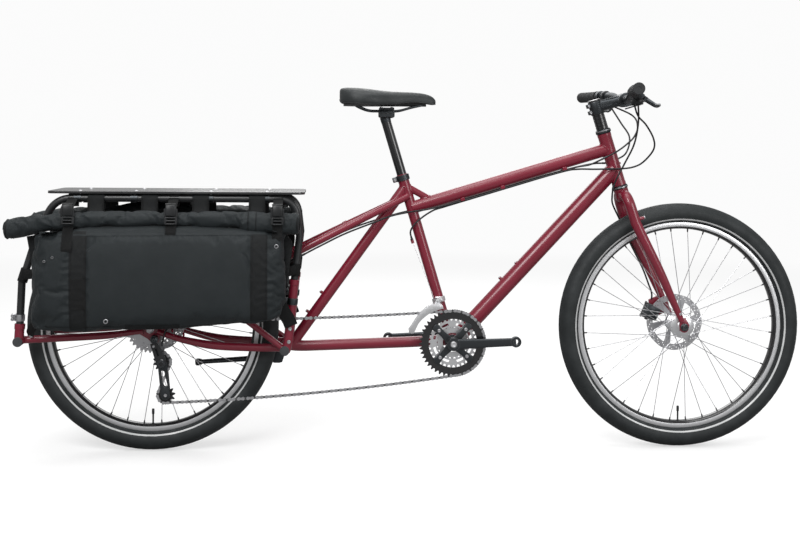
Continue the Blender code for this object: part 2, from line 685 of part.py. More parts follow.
def make_fork(parent):
    origin = at(*HEAD_BOTTOM)
    leg = fork_leg()
    plate = side_plate([(1.452, 0.3640), (1.4560, 0.3330), (1.4665, 0.3270), (1.4780, 0.3330),
                        (1.4800, 0.3480), (1.4700, 0.3660)], -FRONT_HUB_HALF - DROPOUT_THICKNESS,
                       -FRONT_HUB_HALF)
    tab = side_plate([(1.397, 0.4040), (1.402, 0.3620), (1.4180, 0.3560), (1.4560, 0.3750),
                      (1.4340, 0.4200)], 0.0563, 0.0625)
    boss = rod(steer_point(-0.099, 0.000, -LEG_Y), steer_point(-0.099, 0.030, -LEG_Y), 0.0042, 8)
    parts = [
        rod(steer_point(-0.012), steer_point(0.248), STEERER_RADIUS, 16),
        revolve([(0, -0.042), (0.0170, -0.042), (0.0205, -0.034), (0.0205, -0.0093), (0, -0.0093)],
                origin, STEER_UP, 16),
        leg, mirror_mesh(leg), plate, mirror_mesh(plate), boss, mirror_mesh(boss), tab,
    ]
    centre = at(WHEELBASE, TYRE_RADIUS)
    hole = rod(centre - SIDE * 0.09, centre + SIDE * 0.09, bore(AXLE_RADIUS, 10), 10)
    solid("fork", cut(join(parts), [hole]), "red_paint", origin, parent)
    inner = bore(STEERER_RADIUS, 16)
    low, high = HEAD_LENGTH + 0.0125 + GAP, STEM_CLAMP_S[0] - GAP
    spacers = ring(inner, 0.0172, low, high, origin, STEER_UP, 16)
    solid("headset_spacers", spacers, "black_alloy", origin, parent)
    axle_mesh = axle(centre, FRONT_HUB_HALF + DROPOUT_THICKNESS + GAP, 0.009)
    solid("front_axle", axle_mesh, "steel", centre, parent)


def make_stem(parent):
    origin = at(*HEAD_BOTTOM)
    low, high = STEM_CLAMP_S
    root = steer_point((low + high) / 2)
    clamp = at(*BAR_CLAMP)
    along = (clamp - root).normalized()
    body = join([
        revolve([(0, low), (0.0190, low), (0.0195, low + 0.002), (0.0195, high - 0.003),
                 (0.0175, high), (0, high)], origin, STEER_UP, 16),
        tube([root, root.lerp(clamp, 0.5), clamp - along * 0.006], [0.0165, 0.0150, 0.0160], 12),
        rod(clamp - SIDE * 0.022, clamp + SIDE * 0.022, 0.0200, 16),
    ])
    bores = [rod(steer_point(low - 0.01), steer_point(0.2484), bore(STEERER_RADIUS, 16), 16),
             rod(clamp - SIDE * 0.03, clamp + SIDE * 0.03, bore(BAR_CENTRE_RADIUS, 12), 12)]
    solid("stem", cut(body, bores), "black_alloy", origin, parent)


def bar_path(side):
    """Half the handlebar's centre line, out to the given side."""
    end = at(*BAR_END, side * BAR_HALF)
    corner_low = at(BAR_CLAMP[0], BAR_CLAMP[1], side * 0.060)
    corner_high = at(1.300, 0.990, side * 0.105)
    bends = rounded([at(*BAR_CLAMP, side * 0.030), corner_low, corner_high, end], 0.022, 3)
    return [at(*BAR_CLAMP, side * 0.026), *bends[1:]]


def bar_place(side, reach):
    """A point on the straight outer part of the bar at this distance from the middle plane."""
    start, end = at(1.300, 0.990, side * 0.105), at(*BAR_END, side * BAR_HALF)
    return start.lerp(end, (reach - 0.105) / (BAR_HALF - 0.105))


def bar_axis(side):
    return (bar_place(side, 0.3) - bar_place(side, 0.2)).normalized()


def make_handlebar(parent):
    origin = at(*HEAD_BOTTOM)
    right, left = bar_path(-1), bar_path(1)
    path = list(reversed(right)) + left
    radii = [BAR_CENTRE_RADIUS if abs(p.y) < 0.045 else BAR_RADIUS for p in path]
    solid("handlebar", tube(path, radii, 12), "black_alloy", origin, parent)
    for side, name in ((-1, "right"), (1, "left")):
        axis = bar_axis(side)
        start = bar_place(side, 0.2150)
        length = (GRIP_HALF - 0.2150) / abs(axis.y)
        inner = bore(BAR_RADIUS, 12)
        end = (BAR_HALF - 0.2150) / abs(axis.y) + GAP
        profile = [(inner, 0), (0.0165, 0), (0.0165, 0.004), (GRIP_RADIUS, 0.006),
                   (GRIP_RADIUS, length - 0.002), (0.0140, length), (0, length), (0, end), (inner, end)]
        solid(f"grip_{name}", revolve(profile, start, axis, 12), "rubber", origin, parent)


def control_axes(side):
    """Directions at a brake lever: outboard along the bar, down and forward to the blade, and the pivot's."""
    outboard = bar_axis(side)
    reach = Vector((0.80, 0, -0.60))
    reach = (reach - outboard * reach.dot(outboard)).normalized()
    return outboard, reach, outboard.cross(reach)


def make_brake_controls(parent):
    origin = at(*HEAD_BOTTOM)
    for side, name in ((-1, "right"), (1, "left")):
        out, reach, normal = control_axes(side)
        base = bar_place(side, 0.195)
        band = ring(bore(BAR_RADIUS, 12), 0.0170, -0.007, 0.007, base, out, 12)
        outline = [(0.013, -0.010), (0.0255, -0.006), (0.0255, 0.020), (0.0160, 0.020), (0.0125, 0.007)]
        body = prism(outline, base, reach, out, -0.008, 0.008)
        solid(f"brake_clamp_{name}", join([band, body]), "black_alloy", origin, parent)
        pivot = base + reach * 0.0340 + out * 0.012
        lever = pivot_empty(f"brake_lever_{name}_pivot", pivot, parent)
        path = [pivot, base + reach * 0.056 + out * 0.026, base + reach * 0.066 + out * 0.048,
                base + reach * 0.066 + out * 0.085, base + reach * 0.070 + out * 0.112]
        sweep = [pivot, *rounded(path, 0.012, 2)[1:]]
        blade = tube(sweep, [0.0050] * (len(sweep) - 1) + [0.0062], 8)
        boss = rod(pivot - normal * 0.0065, pivot + normal * 0.0065, 0.0078, 12)
        solid(f"brake_lever_{name}", join([boss, blade]), "black_alloy", pivot, lever)


def make_shifters(parent):
    origin = at(*HEAD_BOTTOM)
    for side, name in ((-1, "right"), (1, "left")):
        out = bar_axis(side)
        base = bar_place(side, 0.158)
        down = Vector((0.30, 0, -0.954))
        down = (down - out * down.dot(out)).normalized()
        ahead = down.cross(out) * side
        band = ring(bore(BAR_RADIUS, 12), 0.0160, -0.006, 0.006, base, out, 12)
        neck = prism([(0.013, -0.006), (0.024, -0.012), (0.024, 0.012), (0.013, 0.006)], base, down, out,
                     -0.006, 0.006)
        centre = base + ahead * 0.004
        pod = revolve([(0, 0.0185), (0.0150, 0.0185), (0.0190, 0.0215), (0.0190, 0.0310), (0.0165, 0.0345),
                       (0, 0.0345)], centre, down, 12)
        solid(f"shifter_{name}", join([band, neck, pod]), "plastic", origin, parent)
        pivot = centre + down * 0.0370
        lever = pivot_empty(f"shift_trigger_{name}_pivot", pivot, parent)
        hub = revolve([(0, -0.0021), (0.0125, -0.0021), (0.0125, 0.0020), (0, 0.0020)], pivot, down, 12)
        paddle = prism([(0.004, -0.0060), (0.0330, -0.0045), (0.0380, 0.0020), (0.0350, 0.0090),
                        (0.0040, 0.0060)], pivot, -ahead, out, -0.0018, 0.0018)
        solid(f"shift_trigger_{name}", join([hub, paddle]), "plastic", pivot, lever)


def make_steering():
    steering = pivot_empty("steering", at(*HEAD_BOTTOM))
    make_fork(steering)
    make_stem(steering)
    make_handlebar(steering)
    make_brake_controls(steering)
    make_shifters(steering)
    make_front_wheel(steering)
    make_caliper("front_brake_caliper", at(WHEELBASE, TYRE_RADIUS), 157, FRONT_ROTOR_Y, 0.0285, 0.0560,
                 steering, at(*HEAD_BOTTOM))
    make_caliper("rear_brake_caliper", at(0, TYRE_RADIUS), 72, REAR_ROTOR_Y, 0.0425, 0.0665)


# ---------------------------------------------------------------- drivetrain


def crank_arm(side):
    """One crank arm with its boss, a blind seat for the spindle and a hole through the pedal eye."""
    turn = math.radians(CRANK_RISE_DEG)
    along = Vector((math.cos(turn), 0, math.sin(turn))) * -side
    up = Vector((-along.z, 0, along.x))
    centre = at(*BB)
    out = SIDE * side
    eye = centre + along * CRANK_LENGTH
    rings = []
    for share, half, depth, y in ((0.0, 0.0150, 0.0070, 0.0745), (0.18, 0.0135, 0.0068, 0.0770),
                                  (0.60, 0.0115, 0.0060, 0.0835), (1.0, 0.0110, 0.0058, 0.0855)):
        middle = centre.lerp(eye, share) + out * y
        outline = [(-half, -depth * 0.6), (-half * 0.8, -depth), (half * 0.8, -depth), (half, -depth * 0.6),
                   (half, depth * 0.6), (half * 0.8, depth), (-half * 0.8, depth), (-half, depth * 0.6)]
        rings.append([middle + up * a + out * b for a, b in outline])
    boss = revolve([(0, 0.0600), (0.0165, 0.0600), (0.0180, 0.0620), (0.0180, 0.0815), (0.0165, 0.0835),
                    (0, 0.0835)], centre, out, 12)
    end = revolve([(0, 0.0790), (0.0135, 0.0790), (0.0148, 0.0805), (0.0148, 0.0910), (0.0135, 0.0920),
                   (0, 0.0920)], eye, out, 12)
    hole = rod(eye + out * 0.07, eye + out * 0.10, 0.0071, 10)
    seat = rod(centre + out * 0.05, centre + out * 0.0740, bore(0.0085, 10), 10)
    return [boss, skin(rings), end], [hole, seat]


def spider():
    """Four arms behind the right crank that carry the rings."""
    centre = at(*BB)
    arms = []
    for k in range(4):
        turn = math.radians(45 + CRANK_RISE_DEG + 90 * k)
        along = Vector((math.cos(turn), 0, math.sin(turn)))
        outline = [(0.006, -0.0105), (0.034, -0.0075), (0.052, -0.0080), (0.058, -0.0050), (0.058, 0.0050),
                   (0.052, 0.0080), (0.034, 0.0075), (0.006, 0.0105)]
        arms.append(prism(outline, centre, along, along.cross(SIDE), 0.0019 - RING_Y[0], 0.0645))
    return arms


def ring_tip(teeth):
    """A ring's radius below the chain that rides on it."""
    return pitch_radius(teeth) - CHAIN_HALF_HEIGHT - 0.0009


def make_cranks():
    centre = at(*BB)
    crank = pivot_empty("crank_spin", centre)
    solid("crank_spindle", rod(centre - SIDE * 0.0735, centre + SIDE * 0.0735, 0.0085, 10), "steel", centre,
          crank)
    for side, name in ((-1, "right"), (1, "left")):
        parts, holes = crank_arm(side)
        if side == -1:
            parts += spider()
        solid(f"crank_{name}", cut(join(parts), holes), "black_alloy", centre, crank)
    for name, teeth, y, inner, look in (("outer", RING_TEETH[0], RING_Y[0], 0.0470, "black_alloy"),
                                        ("middle", RING_TEETH[1], RING_Y[1], 0.0440, "steel"),
                                        ("inner", RING_TEETH[2], RING_Y[2], 0.0260, "steel")):
        outer = ring_tip(teeth) if name == "outer" else pitch_radius(teeth) + 0.0015
        plate = ring(inner, outer, y - 0.0014, y + 0.0014, centre, SIDE, 30)
        solid(f"chainring_{name}", plate, look, centre, crank)


def cassette_profile():
    """The cassette and its freehub as one turned, stepped piece: (radius, distance along the axle)."""
    hub_end, inner_end = -REAR_HUB_HALF + GAP + 0.0004, -0.0330
    wall = bore(AXLE_RADIUS, 10) + 0.0006
    profile = [(wall, hub_end), (0.0130, hub_end)]
    for number, teeth in enumerate(COG_TEETH):
        outer_face = COG_Y + COG_SPACING * number - COG_HALF_THICKNESS
        inner_face = outer_face + COG_SPACING
        tip = ring_tip(teeth) if number == 0 else pitch_radius(teeth) + 0.0030
        profile += [(tip, outer_face), (tip, inner_face)]
    profile += [(0.0300, inner_end), (wall, inner_end)]
    return profile


def belt_path(wheels):
    """Points round wheels in turn, in the side view: each is (x, z, radius, +1 anticlockwise or -1)."""
    headings = []
    for (x0, z0, r0, s0), (x1, z1, r1, s1) in zip(wheels, wheels[1:] + wheels[:1]):
        toward = math.atan2(z1 - z0, x1 - x0)
        headings.append(toward - math.asin((s1 * r1 - s0 * r0) / math.hypot(x1 - x0, z1 - z0)))
    arcs = []
    for k, (x, z, radius, sign) in enumerate(wheels):
        start, end = headings[k - 1], headings[k]
        sweep = (end - start) * sign % (2 * math.pi)
        steps = max(3, math.ceil(math.degrees(sweep) / (9 if radius > 0.05 else 18)))
        arc = []
        for step in range(steps + 1):
            heading = start + sign * sweep * step / steps
            arc.append((x + sign * radius * math.sin(heading), z - sign * radius * math.cos(heading)))
        arcs.append(arc)
    return arcs


def make_chain():
    """One closed band round the outer ring, the smallest cog and both pulleys, slack in its long runs."""
    wheels = [
        (BB[0], BB[1], pitch_radius(RING_TEETH[0]), 1),
        (0.0, TYRE_RADIUS, pitch_radius(COG_TEETH[0]), 1),
        (*UPPER_PULLEY, pitch_radius(PULLEY_TEETH), -1),
        (*LOWER_PULLEY, pitch_radius(PULLEY_TEETH), 1),
    ]
    planes = (RING_Y[0], COG_Y, COG_Y, COG_Y)
    slack = (0.008, 0.0, 0.0, 0.011)
    arcs = belt_path(wheels)
    points = []
    for k, arc in enumerate(arcs):
        points += [at(x, z, planes[k]) for x, z in arc]
        after = (k + 1) % len(arcs)
        runs = 7 if slack[k] else 1
        start, end = points[-1], at(*arcs[after][0], planes[after])
        for step in range(1, runs):
            t = step / runs
            points.append(start.lerp(end, t) - UP * slack[k] * 4 * t * (1 - t))
    rings = []
    for point, before, after in zip(points, points[-1:] + points[:-1], points[1:] + points[:1]):
        ahead = (after - before).normalized()
        up = ahead.cross(SIDE).normalized() * CHAIN_HALF_HEIGHT
        wide = SIDE * CHAIN_HALF_WIDTH
        rings.append([point - up - wide, point + up - wide, point + up + wide, point - up + wide])
    solid("chain", skin(rings, closed=True), "steel")


def make_front_derailleur():
    clamp_centre = at(*BB) + SEAT_UP * 0.118
    band = ring(bore(SEAT_TUBE_RADIUS, 16), 0.0185, -0.007, 0.007, clamp_centre, SEAT_UP, 16)
    low = clamp_centre + Vector((-0.013, -0.036, -0.006))
    high = clamp_centre + Vector((0.010, -0.0165, 0.011))
    solid("front_derailleur_clamp", join([band, block(low, high)]), "steel")
    start = at(0.770, 0.400, RING_Y[0])
    shift = pivot_empty("front_shift", start)
    plate = [(0.7920, 0.3960), (0.7860, 0.4080), (0.7640, 0.4080), (0.7400, 0.3940), (0.7150, 0.3640),
             (0.6980, 0.3380), (0.7040, 0.3280), (0.7140, 0.3310), (0.7250, 0.3560), (0.7430, 0.3740),
             (0.7660, 0.3880)]
    y = RING_Y[0]
    tail = [(0.6980, 0.3380), (0.7040, 0.3280), (0.7140, 0.3310), (0.7100, 0.3400)]
    bridge = [(0.7870, 0.4060), (0.7860, 0.4080), (0.7640, 0.4080), (0.7560, 0.4036), (0.7580, 0.4016),
              (0.7680, 0.4050)]
    cage = join([
        side_plate(plate, y - 0.0080, y - 0.0064), side_plate(plate, y + 0.0055, y + 0.0071),
        side_plate(tail, y - 0.0072, y + 0.0063), side_plate(bridge, y - 0.0072, y + 0.0063),
    ])
    solid("front_derailleur_cage", cage, "steel", start, shift)


def capsule(low, high, low_radius, high_radius):
    """The outline of two discs joined by tangents, as side-view points."""
    outline = []
    slope = math.atan2(high[1] - low[1], high[0] - low[0])
    for centre, radius, start in ((high, high_radius, slope - math.pi / 2),
                                  (low, low_radius, slope + math.pi / 2)):
        for k in range(7):
            turn = start + math.pi * k / 6
            outline.append((centre[0] + radius * math.cos(turn), centre[1] + radius * math.sin(turn)))
    return outline


def make_rear_derailleur():
    y = COG_Y
    knuckle = revolve([(0, 0.0748), (0.0100, 0.0748), (0.0108, 0.0760), (0.0108, 0.0940), (0.0090, 0.0960),
                       (0, 0.0960)], at(0.013, 0.3160), -SIDE, 14)
    solid("rear_derailleur_body", knuckle, "black_alloy")
    upper, lower = UPPER_PULLEY, LOWER_PULLEY
    pivot = at(*upper, y)
    shift = pivot_empty("rear_shift", pivot)
    arm = side_plate([(0.0040, 0.3046), (0.0220, 0.3046), (0.0430, 0.2640), (0.0400, 0.2480),
                      (0.0240, 0.2440), (0.0180, 0.2560)], -0.0940, -0.0790)
    hub = revolve([(0, 0.0712), (0.0125, 0.0712), (0.0125, 0.0930), (0.0105, 0.0955), (0, 0.0955)],
                  at(*upper), -SIDE, 16)
    solid("rear_derailleur_link", join([arm, hub]), "black_alloy", pivot, shift)
    swing = pivot_empty("cage_swing", pivot, shift)
    outline = capsule(lower, upper, 0.0120, 0.0125)
    pins = [rod(at(x, z, y - 0.0075), at(x, z, y + 0.0075), 0.0030, 10) for x, z in (upper, lower)]
    cage = join([side_plate(outline, y - 0.0084, y - 0.0066), side_plate(outline, y + 0.0066, y + 0.0084),
                 *pins])
    solid("rear_derailleur_cage", cage, "black_alloy", pivot, swing)
    for name, (x, z) in (("upper", upper), ("lower", lower)):
        spin = pivot_empty(f"pulley_{name}_spin", at(x, z, y), swing)
        wheel = ring(bore(0.0030, 10) + 0.0002, ring_tip(PULLEY_TEETH), y - 0.0018, y + 0.0018, at(x, z),
                     SIDE, 16)
        solid(f"derailleur_pulley_{name}", wheel, "plastic", at(x, z, y), spin)


def make_cassette():
    centre = at(0, TYRE_RADIUS)
    spin = pivot_empty("cassette_spin", centre)
    solid("cassette", revolve(cassette_profile(), centre, SIDE, 18), "steel", centre, spin)


def make_kickstand():
    x, z = KICKSTAND_PIVOT
    bracket = side_plate([(0.3220, 0.2280), (0.3480, 0.2280), (0.3560, 0.2500), (0.3720, 0.2750),
                          (0.3300, 0.2750), (0.3200, 0.2500)], 0.0580, 0.0755)
    solid("kickstand_bracket", bracket, "black_alloy")
    pivot = at(x, z, 0.0810)
    swing = pivot_empty("kickstand_swing", pivot)
    boss = rod(at(x, z, 0.0758), at(x, z, 0.0930), 0.0125, 12)
    path = [at(x, z, 0.0848), at(0.300, 0.2370, 0.0848), at(0.240, 0.2320, 0.0880), at(0.116, 0.2235, 0.0910)]
    leg = tube(path, [0.0085, 0.0080, 0.0070, 0.0065], 8)
    foot = tube([at(0.120, 0.2236, 0.0910), at(0.112, 0.2230, 0.0910), at(0.104, 0.2224, 0.0910)],
                [0.0085, 0.0105, 0.0085], 10)
    solid("kickstand_leg", join([boss, leg, foot]), "black_alloy", pivot, swing)


clear_scene()
MATERIALS = {name: finish(name, *values) for name, values in FINISHES.items()}
make_frame()
make_frame_fittings()
make_rack()
make_bags()
make_seat()
make_steering()
make_rear_wheel()
make_cranks()
make_cassette()
make_chain()
make_front_derailleur()
make_rear_derailleur()
make_kickstand()
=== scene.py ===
"""The looks of the longtail cargo bicycle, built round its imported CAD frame."""

import json
import math

import bmesh
import bpy
from mathutils import Matrix, Vector
from mathutils.bvhtree import BVHTree


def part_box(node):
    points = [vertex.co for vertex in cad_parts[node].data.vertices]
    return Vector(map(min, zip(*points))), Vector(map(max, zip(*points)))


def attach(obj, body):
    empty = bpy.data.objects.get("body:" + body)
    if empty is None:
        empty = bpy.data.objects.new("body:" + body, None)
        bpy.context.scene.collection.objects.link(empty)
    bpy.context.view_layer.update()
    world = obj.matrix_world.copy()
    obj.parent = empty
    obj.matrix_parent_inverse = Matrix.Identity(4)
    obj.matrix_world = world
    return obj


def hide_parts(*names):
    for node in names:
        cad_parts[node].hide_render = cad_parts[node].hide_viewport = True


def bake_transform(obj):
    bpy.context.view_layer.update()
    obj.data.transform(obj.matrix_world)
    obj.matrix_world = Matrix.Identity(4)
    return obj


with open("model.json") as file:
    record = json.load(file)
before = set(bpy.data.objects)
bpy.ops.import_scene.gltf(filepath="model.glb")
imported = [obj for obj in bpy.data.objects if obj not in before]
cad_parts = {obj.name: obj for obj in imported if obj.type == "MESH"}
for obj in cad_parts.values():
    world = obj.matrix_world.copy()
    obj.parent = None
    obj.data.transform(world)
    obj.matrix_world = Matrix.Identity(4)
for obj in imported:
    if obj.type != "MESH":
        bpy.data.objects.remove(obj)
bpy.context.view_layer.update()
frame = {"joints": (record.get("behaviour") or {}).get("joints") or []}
JOINTS = {joint["name"]: joint for joint in frame["joints"]}

# ---------------------------------------------------------------- driving places and sizes, metres

FORWARD = Vector((1, 0, 0))
SIDE = Vector((0, 1, 0))
UP = Vector((0, 0, 1))
REAR_AXLE = Vector(JOINTS["rear_wheel_spin"]["pos_m"])
FRONT_AXLE = Vector(JOINTS["front_wheel_spin"]["pos_m"])
BB = Vector(JOINTS["crank_spin"]["pos_m"])
HEAD_BOTTOM = Vector(JOINTS["steering_turn"]["pos_m"])
STEER_UP = Vector(JOINTS["steering_turn"]["axis"]).normalized()
STEER_FORWARD = Vector((STEER_UP.z, 0, -STEER_UP.x))
SEAT_UP = Vector(JOINTS["seat_height"]["axis"]).normalized()
HEAD_LENGTH = 0.1528
SEAT_TUBE_LENGTH = 0.4812
SEAT_TOP = BB + SEAT_UP * SEAT_TUBE_LENGTH
TYRE_RADIUS = 0.3425
ROUND = 40  # sides of a large tube


def at(x, z, y=0.0):
    """A place in the side view: x forward of the rear axle, z above the ground, y to the rider's left."""
    return Vector((x + REAR_AXLE.x, y, z))


def steer_point(s, forward=0.0, y=0.0):
    return HEAD_BOTTOM + STEER_UP * s + STEER_FORWARD * forward + SIDE * y


def mirror_point(p):
    return Vector((p.x, -p.y, p.z))


# ---------------------------------------------------------------- geometry


def smooth_path(points, steps=8):
    """A Catmull-Rom curve through the points."""
    points = [Vector(p) for p in points]
    if len(points) == 2:
        return points
    padded = [points[0] * 2 - points[1], *points, points[-1] * 2 - points[-2]]
    path = []
    for a, b, c, d in zip(padded, padded[1:], padded[2:], padded[3:]):
        for k in range(steps):
            t = k / steps
            path.append(0.5 * (2 * b + (c - a) * t + (2 * a - 5 * b + 4 * c - d) * t * t
                               + (3 * b - a - 3 * c + d) * t ** 3))
    path.append(points[-1])
    return path


def bent_path(points, reach, steps=6):
    """Straight runs with a curve at each inner corner, starting reach away from it."""
    points = [Vector(p) for p in points]
    path = [points[0]]
    for before, corner, after in zip(points, points[1:], points[2:]):
        start = corner + (before - corner).normalized() * min(reach, (before - corner).length / 2)
        end = corner + (after - corner).normalized() * min(reach, (after - corner).length / 2)
        for k in range(steps + 1):
            t = k / steps
            path.append(start.lerp(corner, t).lerp(corner.lerp(end, t), t))
    path.append(points[-1])
    return path


def path_frames(points, closed=False, guide=None):
    """Two directions square to a path at each point, carried along it without twist."""
    frames = []
    across = guide
    count = len(points)
    for i in range(count):
        before = points[i - 1] if i or closed else points[0]
        after = points[(i + 1) % count] if i < count - 1 or closed else points[-1]
        ahead = (after - before).normalized()
        if across is None:
            across = SIDE if abs(ahead.y) < 0.9 else UP
        across = (across - ahead * across.dot(ahead)).normalized()
        frames.append((across.copy(), ahead.cross(across)))
    return frames


def tube_rings(points, radius, sides=20, closed=False, flat=1.0, guide=None):
    """Rings of a tube; radius is a number, one per point, or a function of the share of its length."""
    points = [Vector(p) for p in points]
    lengths = [0.0]
    for before, after in zip(points, points[1:]):
        lengths.append(lengths[-1] + (after - before).length)
    rings = []
    for i, (point, (across, up)) in enumerate(zip(points, path_frames(points, closed, guide))):
        if callable(radius):
            size = radius(lengths[i] / lengths[-1])
        else:
            size = radius[i] if isinstance(radius, (list, tuple)) else radius
        rings.append([point + (across * math.cos(a) + up * flat * math.sin(a)) * size
                      for a in (2 * math.pi * k / sides for k in range(sides))])
    return rings


def taper(*marks):
    """A function of the share along a path, through (share, value) marks."""
    def value(share):
        for (s0, v0), (s1, v1) in zip(marks, marks[1:]):
            if share <= s1:
                return v0 + (v1 - v0) * (share - s0) / (s1 - s0)
        return marks[-1][1]
    return value


def lathe_rings(profile, origin, axis, sides):
    """Rings round an axis for an open or closed outline of (radius, distance along the axis)."""
    axis = Vector(axis).normalized()
    guide = SIDE if abs(axis.y) < 0.9 else UP
    across = (guide - axis * guide.dot(axis)).normalized()
    up = axis.cross(across)
    rings = []
    for k in range(sides):
        out = across * math.cos(2 * math.pi * k / sides) + up * math.sin(2 * math.pi * k / sides)
        rings.append([Vector(origin) + out * max(r, 1e-5) + axis * s for r, s in profile])
    return rings


def arc(cx, cy, radius, start, end, steps):
    return [(cx + radius * math.cos(math.radians(start + (end - start) * k / steps)),
             cy + radius * math.sin(math.radians(start + (end - start) * k / steps)))
            for k in range(steps + 1)]


def wheel_direction(turn):
    """The direction at an angle round a wheel, from forward towards up."""
    return Vector((math.cos(turn), 0, math.sin(turn)))


def superellipse(sides, power):
    """Points round a ring of half size 1: a circle at power 1, squarer as the power drops."""
    turns = [2 * math.pi * k / sides for k in range(sides)]
    return [(math.copysign(abs(math.cos(a)) ** power, math.cos(a)),
             math.copysign(abs(math.sin(a)) ** power, math.sin(a))) for a in turns]


class Shape:
    """The faces of one piece, gathered from rings, plates and boxes, each with a finish."""

    def __init__(self):
        self.verts, self.faces, self.looks, self.names = [], [], [], []

    def look_index(self, look):
        if look not in self.names:
            self.names.append(look)
        return self.names.index(look)

    def add_face(self, corners, look):
        self.faces.append(corners)
        self.looks.append(look)

    def skin(self, rings, look, closed=False, wrap=True, caps=True):
        base, n, m, index = len(self.verts), len(rings[0]), len(rings), self.look_index(look)
        for ring in rings:
            self.verts += [tuple(p) for p in ring]
        for i in range(m if closed else m - 1):
            a, b = base + i * n, base + (i + 1) % m * n
            for j in range(n if wrap else n - 1):
                k = (j + 1) % n
                self.add_face((a + j, a + k, b + k, b + j), index)
        if caps and not closed:
            self.add_face(tuple(base + j for j in range(n)), index)
            self.add_face(tuple(base + (m - 1) * n + j for j in range(n)), index)
        return self

    def tube(self, points, radius, look, sides=20, **more):
        return self.skin(tube_rings(points, radius, sides, **more), look)

    def loop(self, points, radius, look, sides=10):
        return self.skin(tube_rings(points, radius, sides, closed=True), look, closed=True)

    def lathe(self, profile, origin, axis, look, sides=48):
        """A turned piece from a closed outline that may touch the axis."""
        return self.skin(lathe_rings(profile, origin, axis, sides), look, closed=True)

    def plate(self, outlines, thickness, matrix, look, bevel=0.0, resolution=1):
        """A flat plate with holes: outlines in its own plane, centred on it in thickness."""
        curve = bpy.data.curves.new("outline", "CURVE")
        curve.dimensions = "2D"
        curve.fill_mode = "BOTH"
        curve.extrude = thickness / 2 - bevel
        curve.bevel_depth = bevel
        curve.bevel_resolution = resolution
        for outline in outlines:
            spline = curve.splines.new("POLY")
            spline.points.add(len(outline) - 1)
            for point, (x, y) in zip(spline.points, outline):
                point.co = (x, y, 0, 1)
            spline.use_cyclic_u = True
        holder = bpy.data.objects.new("outline", curve)
        bpy.context.scene.collection.objects.link(holder)
        mesh = bpy.data.meshes.new_from_object(holder.evaluated_get(bpy.context.evaluated_depsgraph_get()))
        bpy.data.objects.remove(holder)
        bpy.data.curves.remove(curve)
        base, index = len(self.verts), self.look_index(look)
        self.verts += [tuple(matrix @ v.co) for v in mesh.vertices]
        for polygon in mesh.polygons:
            self.add_face(tuple(base + v for v in polygon.vertices), index)
        bpy.data.meshes.remove(mesh)
        return self

    def box(self, centre, u, v, w, half, look, edge=0.0):
        """A box with chamfered long edges: u, v and w are its directions, half its half sizes."""
        a, b, c = half
        e = min(edge, a * 0.9, b * 0.9, c * 0.9)
        outline = [(-a + e, -b), (a - e, -b), (a, -b + e), (a, b - e), (a - e, b), (-a + e, b), (-a, b - e),
                   (-a, -b + e)]
        rings = []
        for depth, shrink in ((-c, e), (-c + e, 0), (c - e, 0), (c, e)):
            rings.append([Vector(centre) + u * x * (1 - shrink / a) + v * y * (1 - shrink / b) + w * depth
                          for x, y in outline])
        return self.skin(rings, look)

    def bolt(self, place, out, radius, height, look, socket=True):
        """A socket-head bolt: a domed disc with a hexagonal recess."""
        e = radius * 0.2
        profile = [(radius, 0), (radius, height - e), (radius - e, height)]
        if socket:
            profile += [(radius * 0.5, height), (radius * 0.42, height * 0.45), (0, height * 0.42)]
        else:
            profile += [(0, height + e * 0.6)]
        profile += [(0, 0)]
        return self.lathe(profile, place, out, look, 18)

    def add(self, other):
        """Another shape's faces, with their finishes."""
        base = len(self.verts)
        self.verts += other.verts
        self.faces += [tuple(base + c for c in corners) for corners in other.faces]
        looks = [self.look_index(name) for name in other.names]
        self.looks += [looks[look] for look in other.looks]
        return self

    def mirrored(self):
        """The same faces on the other side of the bicycle, added to this shape."""
        base = len(self.verts)
        self.verts += [(x, -y, z) for x, y, z in self.verts]
        for corners, look in list(zip(self.faces, self.looks)):
            self.add_face(tuple(base + c for c in reversed(corners)), look)
        return self

    def mirror_copy(self):
        other = Shape()
        other.verts = [(x, -y, z) for x, y, z in self.verts]
        other.faces = [tuple(reversed(c)) for c in self.faces]
        other.looks, other.names = list(self.looks), list(self.names)
        return other

    def mesh(self, name, angle=38):
        mesh = bpy.data.meshes.new(name)
        mesh.from_pydata(self.verts, [], self.faces)
        mesh.polygons.foreach_set("material_index", self.looks)
        for look in self.names:
            mesh.materials.append(LOOKS[look])
        bm = bmesh.new()
        bm.from_mesh(mesh)
        bmesh.ops.remove_doubles(bm, verts=bm.verts, dist=2e-6)
        bmesh.ops.recalc_face_normals(bm, faces=bm.faces)
        bm.to_mesh(mesh)
        bm.free()
        mesh.shade_smooth()
        mesh.set_sharp_from_angle(angle=math.radians(angle))
        return mesh

    def piece(self, name, body, stands_for=(), slot=None, angle=38):
        """The finished piece, riding on a CAD body and standing for these CAD nodes."""
        piece = bpy.data.objects.new(name, self.mesh(name, angle))
        bpy.context.scene.collection.objects.link(piece)
        if body is not None:
            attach(piece, body)
        if stands_for:
            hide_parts(*stands_for)
        return piece


